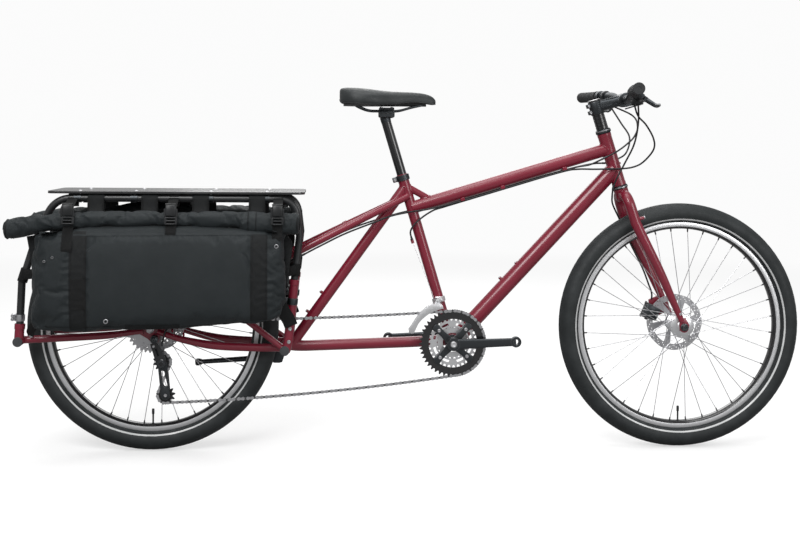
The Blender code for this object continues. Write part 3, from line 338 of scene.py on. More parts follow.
def weld_bead(shape, start, along, radius, on_point, on_axis, on_radius, look, bead=0.0022):
    """A bead where a tube from start, heading along into it, meets the side of another tube."""
    along, on_axis = along.normalized(), on_axis.normalized()
    guide = SIDE if abs(along.y) < 0.9 else UP
    across = (guide - along * guide.dot(along)).normalized()
    up = along.cross(across)
    points = []
    for k in range(40):
        turn = 2 * math.pi * k / 40
        origin = start + (across * math.cos(turn) + up * math.sin(turn)) * radius
        d = along - on_axis * along.dot(on_axis)
        o = (origin - on_point) - on_axis * (origin - on_point).dot(on_axis)
        a, b, c = d.dot(d), 2 * o.dot(d), o.dot(o) - on_radius ** 2
        root = b * b - 4 * a * c
        if root < 0:
            return shape
        points.append(origin + along * ((-b - math.sqrt(root)) / (2 * a)))
    return shape.loop(points, bead, look, 8)


def side_matrix(y, origin=None):
    """Places a plate's own x and y along the bicycle's X and Z, with its middle at this y."""
    base = origin if origin is not None else Vector((REAR_AXLE.x, 0, 0))
    return Matrix(((1, 0, 0, base.x), (0, 0, 1, y), (0, 1, 0, base.z), (0, 0, 0, 1)))


def axes_matrix(origin, u, v):
    w = u.cross(v)
    return Matrix(((u.x, v.x, w.x, origin.x), (u.y, v.y, w.y, origin.y), (u.z, v.z, w.z, origin.z),
                   (0, 0, 0, 1)))


# ---------------------------------------------------------------- materials


class Nodes:
    """A material's node tree, with short ways to add and link nodes."""

    def __init__(self, name):
        self.material = bpy.data.materials.new(name)
        self.material.use_nodes = True
        self.tree = self.material.node_tree
        self.shader = self.tree.nodes["Principled BSDF"]
        self.coords = self.tree.nodes.new("ShaderNodeTexCoord").outputs["Object"]

    def add(self, kind, **inputs):
        node = self.tree.nodes.new(kind)
        for key, value in inputs.items():
            self.put(node.inputs[key.replace("_", " ")], value)
        return node

    def put(self, socket, value):
        if isinstance(value, bpy.types.NodeSocket):
            self.tree.links.new(value, socket)
        else:
            socket.default_value = value

    def set(self, **inputs):
        for key, value in inputs.items():
            self.put(self.shader.inputs[key.replace("_", " ")], value)

    def noise(self, scale, detail=4, roughness=0.55, coords=None):
        node = self.add("ShaderNodeTexNoise", Vector=coords or self.coords, Scale=scale, Detail=detail,
                        Roughness=roughness)
        return node.outputs["Fac"]

    def math(self, operation, a, b=0.5):
        node = self.tree.nodes.new("ShaderNodeMath")
        node.operation = operation
        self.put(node.inputs[0], a)
        self.put(node.inputs[1], b)
        return node.outputs[0]

    def ramp(self, value, *stops):
        """A colour ramp: stops are (place, colour or grey)."""
        node = self.add("ShaderNodeValToRGB", Fac=value)
        elements = node.color_ramp.elements
        while len(elements) < len(stops):
            elements.new(0.5)
        for element, (place, colour) in zip(elements, stops):
            element.position = place
            element.color = (*colour, 1) if isinstance(colour, tuple) else (colour, colour, colour, 1)
        return node.outputs["Color"]

    def mix(self, factor, a, b):
        node = self.tree.nodes.new("ShaderNodeMix")
        node.data_type = "RGBA"
        self.put(node.inputs[0], factor)
        for socket, value in ((node.inputs[6], a), (node.inputs[7], b)):
            self.put(socket, (*value, 1) if isinstance(value, tuple) else value)
        return node.outputs[2]

    def bump(self, height, strength, distance=0.001):
        self.set(Normal=self.add("ShaderNodeBump", Height=height, Strength=strength,
                                 Distance=distance).outputs["Normal"])

    def edges(self, radius=0.0015):
        """Near 1 where the surface bends sharply, for worn edges."""
        bevel = self.tree.nodes.new("ShaderNodeBevel")
        bevel.inputs["Radius"].default_value = radius
        geometry = self.tree.nodes.new("ShaderNodeNewGeometry")
        dot = self.tree.nodes.new("ShaderNodeVectorMath")
        dot.operation = "DOT_PRODUCT"
        self.put(dot.inputs[0], bevel.outputs[0])
        self.put(dot.inputs[1], geometry.outputs["Normal"])
        return self.math("SUBTRACT", 1.0, dot.outputs["Value"])


def paint(name, base, light, coat, roughness):
    """Sprayed enamel: a soft mottle of colour under clear lacquer with a little orange peel."""
    m = Nodes(name)
    m.set(Base_Color=m.mix(m.ramp(m.noise(9.0, 3), (0.35, 0.0), (0.7, 1.0)), base, light),
          Roughness=m.ramp(m.noise(34.0, 3), (0.3, roughness), (0.75, roughness + 0.1)),
          Coat_Weight=coat, Coat_Roughness=0.13, Specular_IOR_Level=0.5)
    m.bump(m.noise(300.0, 2), 0.02, 0.0003)
    return m.material


def metal(name, colour, worn, roughness, scratch=260.0):
    """Machined or anodised metal: fine streaks in its roughness and brighter worn edges."""
    m = Nodes(name)
    stretch = m.add("ShaderNodeMapping", Vector=m.coords, Scale=(1.0, 1.0, 7.0)).outputs[0]
    streaks = m.noise(scratch, 3, coords=stretch)
    wear = m.ramp(m.math("MULTIPLY", m.edges(), m.noise(60.0, 4)), (0.02, 0.0), (0.16, 1.0))
    m.set(Base_Color=m.mix(wear, colour, worn), Metallic=1.0,
          Roughness=m.ramp(streaks, (0.3, roughness), (0.75, roughness + 0.14)))
    m.bump(streaks, 0.06, 0.0003)
    return m.material


def dull(name, colour, light, roughness, grain, strength):
    """Moulded plastic or rubber: a fine grain, with paler scuffed patches."""
    m = Nodes(name)
    m.set(Base_Color=m.mix(m.ramp(m.noise(26.0, 5), (0.4, 0.0), (0.75, 1.0)), colour, light),
          Roughness=m.ramp(m.noise(55.0, 4), (0.3, roughness - 0.06), (0.7, roughness + 0.08)),
          Specular_IOR_Level=0.4)
    m.bump(m.noise(grain, 4), strength, 0.0004)
    return m.material


def woven(name, colour, light, pitch, roughness=0.78, strength=0.35, sheen=0.15, creases=0.0):
    """Cloth: two crossed sets of threads in the bicycle's own X, Y and Z, with faded patches."""
    m = Nodes(name)
    axes = m.add("ShaderNodeSeparateXYZ", Vector=m.coords)
    run = m.math("SINE", m.math("MULTIPLY", axes.outputs["X"], 2 * math.pi / pitch))
    depth = m.math("ADD", axes.outputs["Z"], axes.outputs["Y"])
    rise = m.math("SINE", m.math("MULTIPLY", depth, 2 * math.pi / pitch))
    threads = m.math("MULTIPLY", run, rise)
    faded = m.ramp(m.noise(11.0, 6, 0.6), (0.35, 0.0), (0.72, 1.0))
    colours = m.mix(faded, colour, light)
    shade = m.ramp(m.math("ADD", m.math("MULTIPLY", threads, 0.5), 0.5), (0.0, 0.72), (1.0, 1.0))
    mixer = m.tree.nodes.new("ShaderNodeMix")
    mixer.data_type = "RGBA"
    mixer.blend_type = "MULTIPLY"
    mixer.inputs[0].default_value = 0.6
    m.put(mixer.inputs[6], colours)
    m.put(mixer.inputs[7], shade)
    m.set(Base_Color=mixer.outputs[2], Roughness=roughness, Sheen_Weight=sheen, Sheen_Roughness=0.5,
          Specular_IOR_Level=0.35)
    height = m.math("ADD", threads, m.math("MULTIPLY", m.noise(38.0, 5), creases))
    m.bump(height, strength, 0.0006)
    return m.material


LOOKS = {
    "red": paint("burgundy_enamel", (0.185, 0.0065, 0.0225), (0.215, 0.0085, 0.028), 0.55, 0.3),
    "black": paint("satin_black", (0.012, 0.013, 0.014), (0.022, 0.023, 0.025), 0.25, 0.38),
    "gloss_black": paint("gloss_black", (0.008, 0.008, 0.009), (0.014, 0.014, 0.015), 0.8, 0.16),
    "anodised": metal("black_anodised", (0.066, 0.072, 0.077), (0.36, 0.36, 0.37), 0.36),
    "steel": metal("bright_steel", (0.56, 0.56, 0.58), (0.74, 0.74, 0.75), 0.3),
    "dark_steel": metal("dark_steel", (0.13, 0.13, 0.135), (0.38, 0.38, 0.38), 0.34),
    "alloy": metal("silver_alloy", (0.82, 0.825, 0.84), (0.92, 0.92, 0.93), 0.32),
    "rubber": dull("tyre_rubber", (0.015, 0.018, 0.019), (0.027, 0.031, 0.0325), 0.6, 900.0, 0.25),
    "grip": dull("grip_rubber", (0.022, 0.023, 0.024), (0.036, 0.038, 0.04), 0.68, 700.0, 0.3),
    "plastic": dull("moulded_plastic", (0.014, 0.015, 0.016), (0.026, 0.027, 0.029), 0.42, 1100.0, 0.15),
    "cable": dull("cable_housing", (0.01, 0.01, 0.011), (0.02, 0.02, 0.022), 0.35, 600.0, 0.1),
    "plug": dull("end_plug", (0.045, 0.047, 0.05), (0.065, 0.067, 0.07), 0.55, 800.0, 0.2),
    "stripe": dull("reflective_stripe", (0.55, 0.56, 0.56), (0.7, 0.7, 0.7), 0.35, 900.0, 0.1),
    "canvas": woven("coated_canvas", (0.008, 0.0125, 0.0145), (0.014, 0.019, 0.0215), 0.0011, 0.58, 0.3,
                    0.06, 2.2),
    "canvas_dark": woven("canvas_panel", (0.002, 0.003, 0.0036), (0.004, 0.0054, 0.0062), 0.0011, 0.66, 0.3,
                         0.012, 1.5),
    "webbing": woven("nylon_webbing", (0.0014, 0.0017, 0.002), (0.0036, 0.0041, 0.0046), 0.0024, 0.7, 0.7,
                     0.01),
    "saddle": dull("saddle_cover", (0.018, 0.021, 0.022), (0.03, 0.034, 0.035), 0.48, 1500.0, 0.25),
    "deck": paint("deck_board", (0.016, 0.016, 0.017), (0.03, 0.03, 0.032), 0.7, 0.24),
}


# ---------------------------------------------------------------- main frame

HEAD_TOP = steer_point(HEAD_LENGTH)
FRONT_CROSS = at(0.3618, 0.2883)
REAR_CROSS = at(-0.3411, 0.3138)
RACK_Y = 0.095


def main_triangle():
    shape = Shape()
    radius = 0.019
    profile = [(0.0168, 0.0), (0.0185, 0.0), (0.0196, 0.0008), (0.0196, 0.008), (radius, 0.01),
               (radius, HEAD_LENGTH - 0.01), (0.0196, HEAD_LENGTH - 0.008), (0.0196, HEAD_LENGTH - 0.0008),
               (0.0185, HEAD_LENGTH), (0.0168, HEAD_LENGTH)]
    shape.lathe(profile, HEAD_BOTTOM, STEER_UP, "red", 48)
    rear, front = at(0.7085, 0.6685), at(1.2605, 0.8363)
    shape.tube([rear, front], 0.018, "red", ROUND)
    low, high = at(0.828, 0.2953), at(1.2775, 0.779)
    shape.tube([low, high], 0.022, "red", ROUND)
    shape.tube([BB, SEAT_TOP - SEAT_UP * 0.06], 0.0148, "red", ROUND)
    collar = [(0.014, -0.062), (0.0148, -0.062), (0.0154, -0.058), (0.0154, 0.0), (0.0146, 0.0008),
              (0.014, 0.0)]
    shape.lathe(collar, SEAT_TOP, SEAT_UP, "red", 40)
    shape.tube([at(0.689, 0.73), at(0.759, 0.691)], 0.0095, "red", 24)
    shell = [(0.0178, -0.034), (0.0195, -0.034), (0.0205, -0.0332), (0.0205, 0.0332), (0.0195, 0.034),
             (0.0178, 0.034)]
    shape.lathe(shell, BB, SIDE, "red", 48)
    beads = (
        (rear.lerp(front, 0.5), front - rear, 0.018, HEAD_BOTTOM, STEER_UP, radius),
        (rear.lerp(front, 0.5), rear - front, 0.018, BB, SEAT_UP, 0.0148),
        (low.lerp(high, 0.5), high - low, 0.022, HEAD_BOTTOM, STEER_UP, radius),
        (BB + SEAT_UP * 0.1, -SEAT_UP, 0.0148, BB, SIDE, 0.0205),
        (at(0.72, 0.7128), at(0.689, 0.73) - at(0.759, 0.691), 0.0095, BB, SEAT_UP, 0.0148),
        (at(0.72, 0.7128), at(0.759, 0.691) - at(0.689, 0.73), 0.0095, rear, front - rear, 0.018),
    )
    for bead in beads:
        weld_bead(shape, *bead, "red")
    return shape.piece("frame_front_triangle", "frame", slot="red_paint")


def long_tail():
    shape = Shape()
    boom = bent_path([at(0.812, 0.2995), at(0.703, 0.294), at(0.395, 0.284), at(0.3625, 0.2885)], 0.03, 6)
    shape.tube(boom, 0.015, "red", ROUND)
    brace_top, brace_mid, brace_low = at(0.69, 0.7262), at(0.5256, 0.496), at(0.379, 0.2903)
    shape.tube([brace_top, brace_mid, brace_low], 0.0148, "red", ROUND)
    shape.tube([FRONT_CROSS - SIDE * 0.107, FRONT_CROSS + SIDE * 0.107], 0.0127, "red", 32)
    weld_bead(shape, brace_mid, brace_top - brace_mid, 0.0148, BB, SEAT_UP, 0.0148, "red")
    weld_bead(shape, brace_mid, brace_low - brace_mid, 0.0148, FRONT_CROSS, SIDE, 0.0127, "red")
    weld_bead(shape, at(0.45, 0.2858), at(0.3625, 0.2885) - at(0.45, 0.2858), 0.015, FRONT_CROSS, SIDE,
              0.0127, "red")
    shape.piece("frame_boom_and_brace", "frame", slot="red_paint")
    half = Shape()
    stay_top = at(0.6975, 0.7015, -0.011)
    seatstay = [stay_top, at(0.4026, 0.5548, -0.06), at(0.15, 0.4215, -0.07), at(0.07, 0.3794, -0.0762),
                at(0.022, 0.354, -0.0762)]
    half.tube(smooth_path(seatstay, 8), taper((0, 0.0098), (0.78, 0.01), (0.93, 0.0078), (1, 0.007)), "red",
              28)
    weld_bead(half, seatstay[0].lerp(seatstay[1], 0.3), seatstay[0] - seatstay[1], 0.0098, BB, SEAT_UP,
              0.0148, "red")
    chainstay = [at(0.3622, 0.288, -0.052), at(0.281, 0.289, -0.054), at(0.171, 0.296, -0.061),
                 at(0.09, 0.313, -0.0715), at(0.05, 0.326, -0.076), at(0.02, 0.336, -0.076)]
    half.tube(smooth_path(chainstay, 8), taper((0, 0.011), (0.6, 0.0112), (0.85, 0.0085), (1, 0.007)),
              "red", 28)
    weld_bead(half, chainstay[1], chainstay[0] - chainstay[1], 0.011, FRONT_CROSS, SIDE, 0.0127, "red")
    strut = [at(0.36, 0.2895, -0.088), at(0.281, 0.348, -0.073), at(0.17, 0.43, -0.0692)]
    half.tube(smooth_path(strut, 8), 0.0085, "red", 24)
    lower = [REAR_CROSS - SIDE * 0.0725, at(-0.132, 0.324, -0.07), at(-0.06, 0.333, -0.0765),
             at(-0.018, 0.3375, -0.0765)]
    half.tube(smooth_path(lower, 8), taper((0, 0.01), (0.7, 0.0098), (1, 0.007)), "red", 28)
    half.tube([REAR_CROSS - SIDE * 0.064, REAR_CROSS - SIDE * 0.107], 0.0127, "red", 32)
    half.tube(bent_path([at(0.364, 0.286, -RACK_Y), at(0.37, 0.3, -RACK_Y), at(0.386, 0.479, -RACK_Y)],
                        0.02),
              0.0124, "red", 32)
    half.tube([at(-0.3411, 0.3098, -RACK_Y), at(-0.338, 0.361, -RACK_Y)], 0.0124, "red", 32)
    for top, toward in ((at(0.386, 0.479, -RACK_Y), at(0.3846, 0.463, -RACK_Y)),
                        (at(-0.338, 0.361, -RACK_Y), at(-0.3389, 0.345, -RACK_Y))):
        half.lathe([(0.0126, 0), (0.0138, 0.0006), (0.0138, 0.0135), (0.0126, 0.0145)],
                   top - (top - toward).normalized() * 0.0145,
                   top - toward, "red", 32)
    outline = [(-0.03, 0.331), (-0.006, 0.317), (0.003, 0.308), *arc(0.013, 0.316, 0.0115, 225, 330, 6),
               (0.026, 0.3235), (0.036, 0.333), (0.04, 0.348), (0.032, 0.365), (0.008, 0.361),
               (-0.018, 0.356), (-0.031, 0.345)]
    hole = arc(0, TYRE_RADIUS, 0.0056, 0, 345, 23)
    half.plate([outline, hole], 0.007, side_matrix(-0.071), "red", 0.0008)
    for along in ((0.09, 0.319), (0.06, 0.33)):
        half.tube([at(along[0], along[1] + 0.006, -0.074), at(along[0], along[1] + 0.013, -0.08)], 0.003,
                  "red", 12)
    half.mirrored()
    half.plate([[(0.026, 0.36), (0.084, 0.389), (0.066, 0.426), (0.02, 0.433)]], 0.007, side_matrix(0.0703),
               "red", 0.0008)
    main = half.piece("frame_rear_triangles", "frame", slot="red_paint")
    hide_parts("frame")
    plugs = Shape()
    for place in (FRONT_CROSS, REAR_CROSS):
        profile = [(0.008, 0.1), (0.0126, 0.1068), (0.0131, 0.1074), (0.0131, 0.1088), (0.0118, 0.11),
                   (0, 0.1104), (0, 0.1)]
        plugs.lathe(profile, place, -SIDE, "plug", 32)
        plugs.lathe(profile, place, SIDE, "plug", 32)
    plugs.piece("cross_tube_plugs", "frame", slot="plastic")


def cable_bosses():
    """Threaded bosses on the brace, the seat tube and the down tube, and a cable stop on the stay."""
    shape = Shape()
    down = (at(1.2775, 0.779) - at(0.828, 0.2953)).normalized()
    brace = (at(0.69, 0.7262) - at(0.5256, 0.496)).normalized()
    lower = (at(0.5256, 0.496) - at(0.379, 0.2903)).normalized()
    studs = (
        (at(0.5321, 0.4802), Vector((lower.z, 0, -lower.x))), (at(0.491, 0.4274),
                                                               Vector((lower.z, 0, -lower.x))),
        (at(0.4549, 0.4357), Vector((-lower.z, 0, lower.x))), (at(0.4166, 0.383),
                                                               Vector((-lower.z, 0, lower.x))),
        (at(0.573, 0.585), Vector((-brace.z, 0, brace.x))), (at(0.7832, 0.461),
                                                             Vector((SEAT_UP.z, 0, -SEAT_UP.x))),
        (at(0.9992, 0.5173), Vector((-down.z, 0, down.x))), (at(0.9545, 0.4752),
                                                             Vector((-down.z, 0, down.x))),
    )
    for tip, out in studs:
        shape.tube([tip - out * 0.011, tip - out * 0.002], 0.0044, "red", 16)
        shape.bolt(tip - out * 0.003, out, 0.0036, 0.0032, "steel")
    stay = (at(0.4026, 0.5548, -0.06) - at(0.6975, 0.7015, -0.011)).normalized()
    for side in (-1, 1):
        place = at(0.5219, 0.613, -0.0405 * side)
        shape.tube([place - stay * 0.006 + UP * 0.01, place + stay * 0.006 + UP * 0.01], 0.0042, "red", 14)
    shape.piece("frame_bosses", "frame", slot="red_paint")


def seat_collar():
    shape = Shape()
    back = Vector((-SEAT_UP.z, 0, SEAT_UP.x))
    profile = [(0.0157, -0.017), (0.0178, -0.017), (0.0188, -0.016), (0.0188, -0.002), (0.0178, -0.001),
               (0.0157, -0.001)]
    shape.lathe(profile, SEAT_TOP, SEAT_UP, "anodised", 40)
    for side in (-1, 1):
        shape.box(SEAT_TOP - SEAT_UP * 0.009 + back * 0.0225 + SIDE * side * 0.0052, back, SEAT_UP, SIDE,
                  (0.0065, 0.007, 0.003), "anodised", 0.0012)
    shape.tube([SEAT_TOP - SEAT_UP * 0.009 + back * 0.0232 - SIDE * 0.0125,
                SEAT_TOP - SEAT_UP * 0.009 + back * 0.0232 + SIDE * 0.0125], 0.003, "steel", 16)
    shape.bolt(SEAT_TOP - SEAT_UP * 0.009 + back * 0.0232 - SIDE * 0.0085, -SIDE, 0.0048, 0.005, "steel")
    shape.lathe([(0, 0.0085), (0.0045, 0.0085), (0.0045, 0.012), (0, 0.0125)],
                SEAT_TOP - SEAT_UP * 0.009 + back * 0.0232, SIDE, "steel", 6)
    shape.piece("seat_collar", "frame", ["seat_clamp"], "black_alloy")


def headset():
    upper = Shape()
    upper.lathe([(0.015, 0.0003), (0.0196, 0.0003), (0.0214, 0.0022), (0.0219, 0.005), (0.0216, 0.0072),
                 (0.015, 0.0072)], HEAD_TOP, STEER_UP, "anodised", 48)
    upper.lathe([(0.015, 0.0076), (0.0216, 0.0076), (0.0218, 0.0092), (0.015, 0.0092)], HEAD_TOP, STEER_UP,
                "steel", 48)
    upper.lathe([(0.015, 0.0095), (0.0214, 0.0095), (0.02, 0.0115), (0.018, 0.0124), (0.015, 0.0124)],
                HEAD_TOP, STEER_UP, "anodised", 48)
    upper.piece("headset_upper", "frame", ["headset_upper_cup"], "black_alloy")
    lower = Shape()
    lower.lathe([(0.015, -0.0003), (0.0196, -0.0003), (0.0216, -0.0022), (0.0221, -0.004), (0.015, -0.004)],
                HEAD_BOTTOM, STEER_UP, "anodised", 48)
    lower.lathe([(0.015, -0.0043), (0.0221, -0.0043), (0.0221, -0.0058), (0.015, -0.0058)], HEAD_BOTTOM,
                STEER_UP, "steel", 48)
    lower.lathe([(0.015, -0.0061), (0.0223, -0.0061), (0.0223, -0.008), (0.0212, -0.0089),
                 (0.015, -0.0089)],
                HEAD_BOTTOM, STEER_UP, "anodised", 48)
    lower.piece("headset_lower", "frame", ["headset_lower_cup"], "black_alloy")


main_triangle()
long_tail()
cable_bosses()
seat_collar()
headset()

# ---------------------------------------------------------------- fork and wheels

LEG_Y = 0.06


def fork():
    shape = Shape()
    crown = [(0.0, -0.044), (0.015, -0.044), (0.0188, -0.039), (0.0202, -0.033), (0.0202, -0.0098),
             (0.0188, -0.0093), (0.0, -0.0093)]
    shape.lathe(crown, HEAD_BOTTOM, STEER_UP, "red", 40)
    leg = Shape()
    shoulder = bent_path([steer_point(-0.023, 0, -0.004), steer_point(-0.033, 0, -0.0575),
                          steer_point(-0.105, 0, -LEG_Y)], 0.034, 12)
    blade = smooth_path([shoulder[-1], at(1.352, 0.58, -LEG_Y), at(1.395, 0.497, -0.0595),
                         at(1.431, 0.42, -0.0575), at(1.46, 0.359, -0.0545)], 8)
    leg.tube(shoulder + blade[1:], taper((0, 0.015), (0.45, 0.0138), (0.75, 0.0118), (1, 0.0076)), "red",
             36)
    outline = [(1.453, 0.366), (1.455, 0.335), *arc(1.4665, 0.34, 0.0118, 200, 340, 8), (1.48, 0.348),
               (1.47, 0.368)]
    hole = arc(1.4665, TYRE_RADIUS, 0.0056, 0, 345, 23)
    leg.plate([outline, hole], 0.0064, side_matrix(-0.0535), "red", 0.0008)
    leg.tube([steer_point(-0.099, 0.01, -LEG_Y), steer_point(-0.099, 0.027, -LEG_Y)],
             taper((0, 0.0058), (0.6, 0.0042), (1, 0.004)), "red", 20)
    leg.bolt(steer_point(-0.099, 0.0265, -LEG_Y), STEER_FORWARD, 0.0044, 0.0034, "steel")
    leg.bolt(at(1.453, 0.38, -0.0625), -SIDE, 0.0036, 0.0025, "steel")
    leg.mirrored()
    leg.plate([[(1.397, 0.404), (1.402, 0.362), (1.418, 0.356), (1.456, 0.375), (1.434, 0.42)]], 0.006,
              side_matrix(0.0594), "red", 0.0008)
    shape.add(leg)
    shape.piece("fork_blades", "steering", ["fork"], "red_paint")
    spacers = Shape()
    low, high = HEAD_LENGTH + 0.0128, 0.2097
    sizes = (0.01, 0.01, 0.01, 0.01)
    for depth in sizes:
        spacers.lathe([(0.0147, low), (0.0166, low), (0.0171, low + 0.0005), (0.0171, low + depth - 0.0007),
                       (0.0166, low + depth - 0.0002), (0.0147, low + depth - 0.0002)], HEAD_BOTTOM,
                      STEER_UP,
                      "gloss_black", 40)
        low += depth
    spacers.lathe([(0.0147, low), (0.0164, low), (0.0169, low + 0.0004), (0.0169, high - 0.0005),
                   (0.0164, high),
                   (0.0147, high)], HEAD_BOTTOM, STEER_UP, "gloss_black", 40)
    spacers.piece("steerer_spacers", "steering", ["headset_spacers"], "black_alloy")


TREAD_PITCHES = 84
TREAD_STEPS = 5
TREAD_DEPTH = 0.0011


def tyre(name, centre, body, node):
    """A wide road tyre: sidewalls with a pale stripe, and a tread of shallow chevron grooves."""
    half = [(0.288, 0.012), (0.2905, 0.014), (0.2925, 0.0185), (0.2945, 0.0218), (0.296, 0.0236),
            (0.3, 0.0262), (0.3045, 0.0283), (0.31, 0.0296), (0.315, 0.0298), (0.32, 0.029),
            (0.3245, 0.0272), (0.3285, 0.0245), (0.332, 0.0212), (0.3352, 0.0172), (0.338, 0.013),
            (0.3402, 0.0086), (0.3415, 0.0044), (0.342, 0.0012)]
    profile = half + [(r, -y) for r, y in reversed(half)]
    shape = Shape()
    steps = TREAD_PITCHES * TREAD_STEPS
    rings = []
    for k in range(steps):
        turn = 2 * math.pi * k / steps
        out = wheel_direction(turn)
        ring = []
        for r, y in profile:
            sink = 0.0
            if r > 0.324 and abs(y) > 0.003:
                phase = (k / TREAD_STEPS + abs(y) * 62) % 1.0
                sink = TREAD_DEPTH if phase < 0.21 else 0.0
            ring.append(centre + out * (r - sink) + SIDE * y)
        rings.append(ring)
    shape.skin(rings, "rubber", closed=True)
    stripe = shape.look_index("stripe")
    n = len(profile)
    marks = [i for i, ((r0, _), (r1, _)) in enumerate(zip(profile, profile[1:] + profile[:1]))
             if min(r0, r1) >= 0.2959 and max(r0, r1) <= 0.3001]
    for k in range(steps):
        for i in marks:
            shape.looks[k * n + i] = stripe
    return shape.piece(name, body, [node], "tyre", angle=25)


SPOKES_PER_SIDE = 18


def rim(name, centre, body, node):
    """A double-wall rim with bright brake tracks, nipples and a valve at the bottom."""
    shape = Shape()
    tracks = [(0.2776, 0.0138), (0.2795, 0.0142), (0.2875, 0.0142), (0.2893, 0.0136)]
    for side in (-1, 1):
        shape.lathe([(r, side * y) for r, y in tracks] + [(0.2893, side * 0.011), (0.2776, side * 0.011)],
                    centre, SIDE, "alloy", 144)
    box = [(0.2705, 0.003), (0.2707, 0.006), (0.2735, 0.0112), (0.2772, 0.0138), (0.2774, 0.0118),
           (0.286, 0.0118), (0.289, 0.0118), (0.289, 0.01), (0.28, 0.0092), (0.28, 0.001)]
    shape.lathe(box + [(r, -y) for r, y in reversed(box)], centre, SIDE, "gloss_black", 144)
    for k in range(2 * SPOKES_PER_SIDE):
        side = -1 if k % 2 == 0 else 1
        turn = math.radians(65 + 10 * k)
        out = wheel_direction(turn)
        place = centre + out * 0.2715 + SIDE * side * 0.0022
        lean = (-out + SIDE * side * 0.1).normalized()
        shape.lathe([(0.0029, 0.0), (0.0029, 0.0006), (0.0021, 0.001), (0.0019, 0.0085), (0.0013, 0.0095),
                     (0, 0.0095),
                     (0, 0.0)], place, lean, "gloss_black", 10)
    out = Vector((math.cos(math.radians(-90)), 0, -1))
    shape.lathe([(0.0031, 0.0), (0.0031, 0.002), (0.0024, 0.0022), (0.0024, 0.026), (0.0034, 0.0262),
                 (0.0036, 0.029), (0.0036, 0.039), (0.0026, 0.041), (0, 0.041), (0, 0)],
                centre + out * 0.2712, -out, "plastic", 16)
    return shape.piece(name, body, [node], "rim_alloy")


def hub(name, centre, body, node, flanges, profile):
    """A hub shell with spokes laced three-cross, each with a head outside or inside its flange."""
    shape = Shape()
    shape.lathe(profile, centre, SIDE, "alloy", 56)
    for side, (flange_y, flange_radius) in zip((-1, 1), flanges):
        for k in range(SPOKES_PER_SIDE):
            way = 1 if k % 2 else -1
            hole = math.radians(20 * k + 5 + (0 if side < 0 else 10))
            end_turn = hole + way * math.radians(60)
            start = centre + wheel_direction(hole) * (flange_radius - 0.004)
            face = flange_y + way * 0.0024
            first = start + SIDE * (flange_y - way * 0.0022)
            elbow = start + SIDE * face
            end = centre + wheel_direction(end_turn) * 0.266 + SIDE * side * 0.003
            shape.tube([first, elbow.lerp(first, 0.25), elbow.lerp(end, 0.008), elbow.lerp(end, 0.03), end],
                       0.00098,
                       "steel", 8)
            shape.lathe([(0, 0), (0.002, 0.0), (0.0018, 0.0007), (0.0009, 0.0011), (0, 0.0011)],
                        first, -SIDE * way, "steel", 10)
    return shape.piece(name, body, [node], "steel")


def rotor(name, centre, body, node, y):
    """A vented disc on six swept arms, with its six bolts."""
    shape = Shape()
    outer = []
    for k in range(180):
        turn = 2 * math.pi * k / 180
        r = 0.0795 + 0.0005 * math.cos(12 * turn)
        outer.append((r * math.cos(turn), r * math.sin(turn)))
    outlines = [outer, arc(0, 0, 0.015, 0, 350, 35)]
    for k in range(6):
        base = 60 * k
        inner_arc = arc(0, 0, 0.027, base + 8, base + 50, 7)
        outer_arc = arc(0, 0, 0.063, base + 62, base + 20, 10)
        outlines.append(inner_arc + outer_arc)
    for k in range(24):
        for r, offset in ((0.0675, 0.0), (0.0718, 5.0), (0.076, 10.0)):
            turn = math.radians(15 * k + offset)
            outlines.append(arc(r * math.cos(turn), r * math.sin(turn), 0.0017, 0, 315, 7))
    shape.plate(outlines, 0.0018, side_matrix(y, centre), "steel", 0.0002, 0)
    for k in range(6):
        turn = math.radians(60 * k + 30)
        place = centre + wheel_direction(turn) * 0.021 + SIDE * (y + 0.0008)
        shape.bolt(place, SIDE, 0.0032, 0.0024, "dark_steel")
    return shape.piece(name, body, [node], "steel")


def axle(name, centre, body, node, shoulder, nut, finish):
    """The axle's shaft with a shaped nut outside each dropout."""
    shape = Shape()
    shape.lathe([(0, -shoulder), (0.0048, -shoulder), (0.0048, shoulder), (0, shoulder)], centre, SIDE,
                "dark_steel", 20)
    for side in (-1, 1):
        profile = [(0, side * shoulder), (0.0108, side * shoulder), (0.011, side * (shoulder + 0.0018)),
                   (0.0095, side * (shoulder + 0.0024))]
        shape.lathe(profile + [(0.009, side * (shoulder + 0.003)), (0, side * (shoulder + 0.003))], centre,
                    SIDE,
                    finish, 32)
        hexagon = [(0.0092, side * (shoulder + 0.0026)), (0.0092, side * (shoulder + nut - 0.0012)),
                   (0.0078, side * (shoulder + nut)), (0.0052, side * (shoulder + nut)),
                   (0.005, side * (shoulder + nut - 0.0016)), (0, side * (shoulder + nut - 0.0014)),
                   (0, side * (shoulder + 0.0026))]
        shape.lathe(hexagon, centre, SIDE, finish, 6)
    return shape.piece(name, body, [node], "steel")


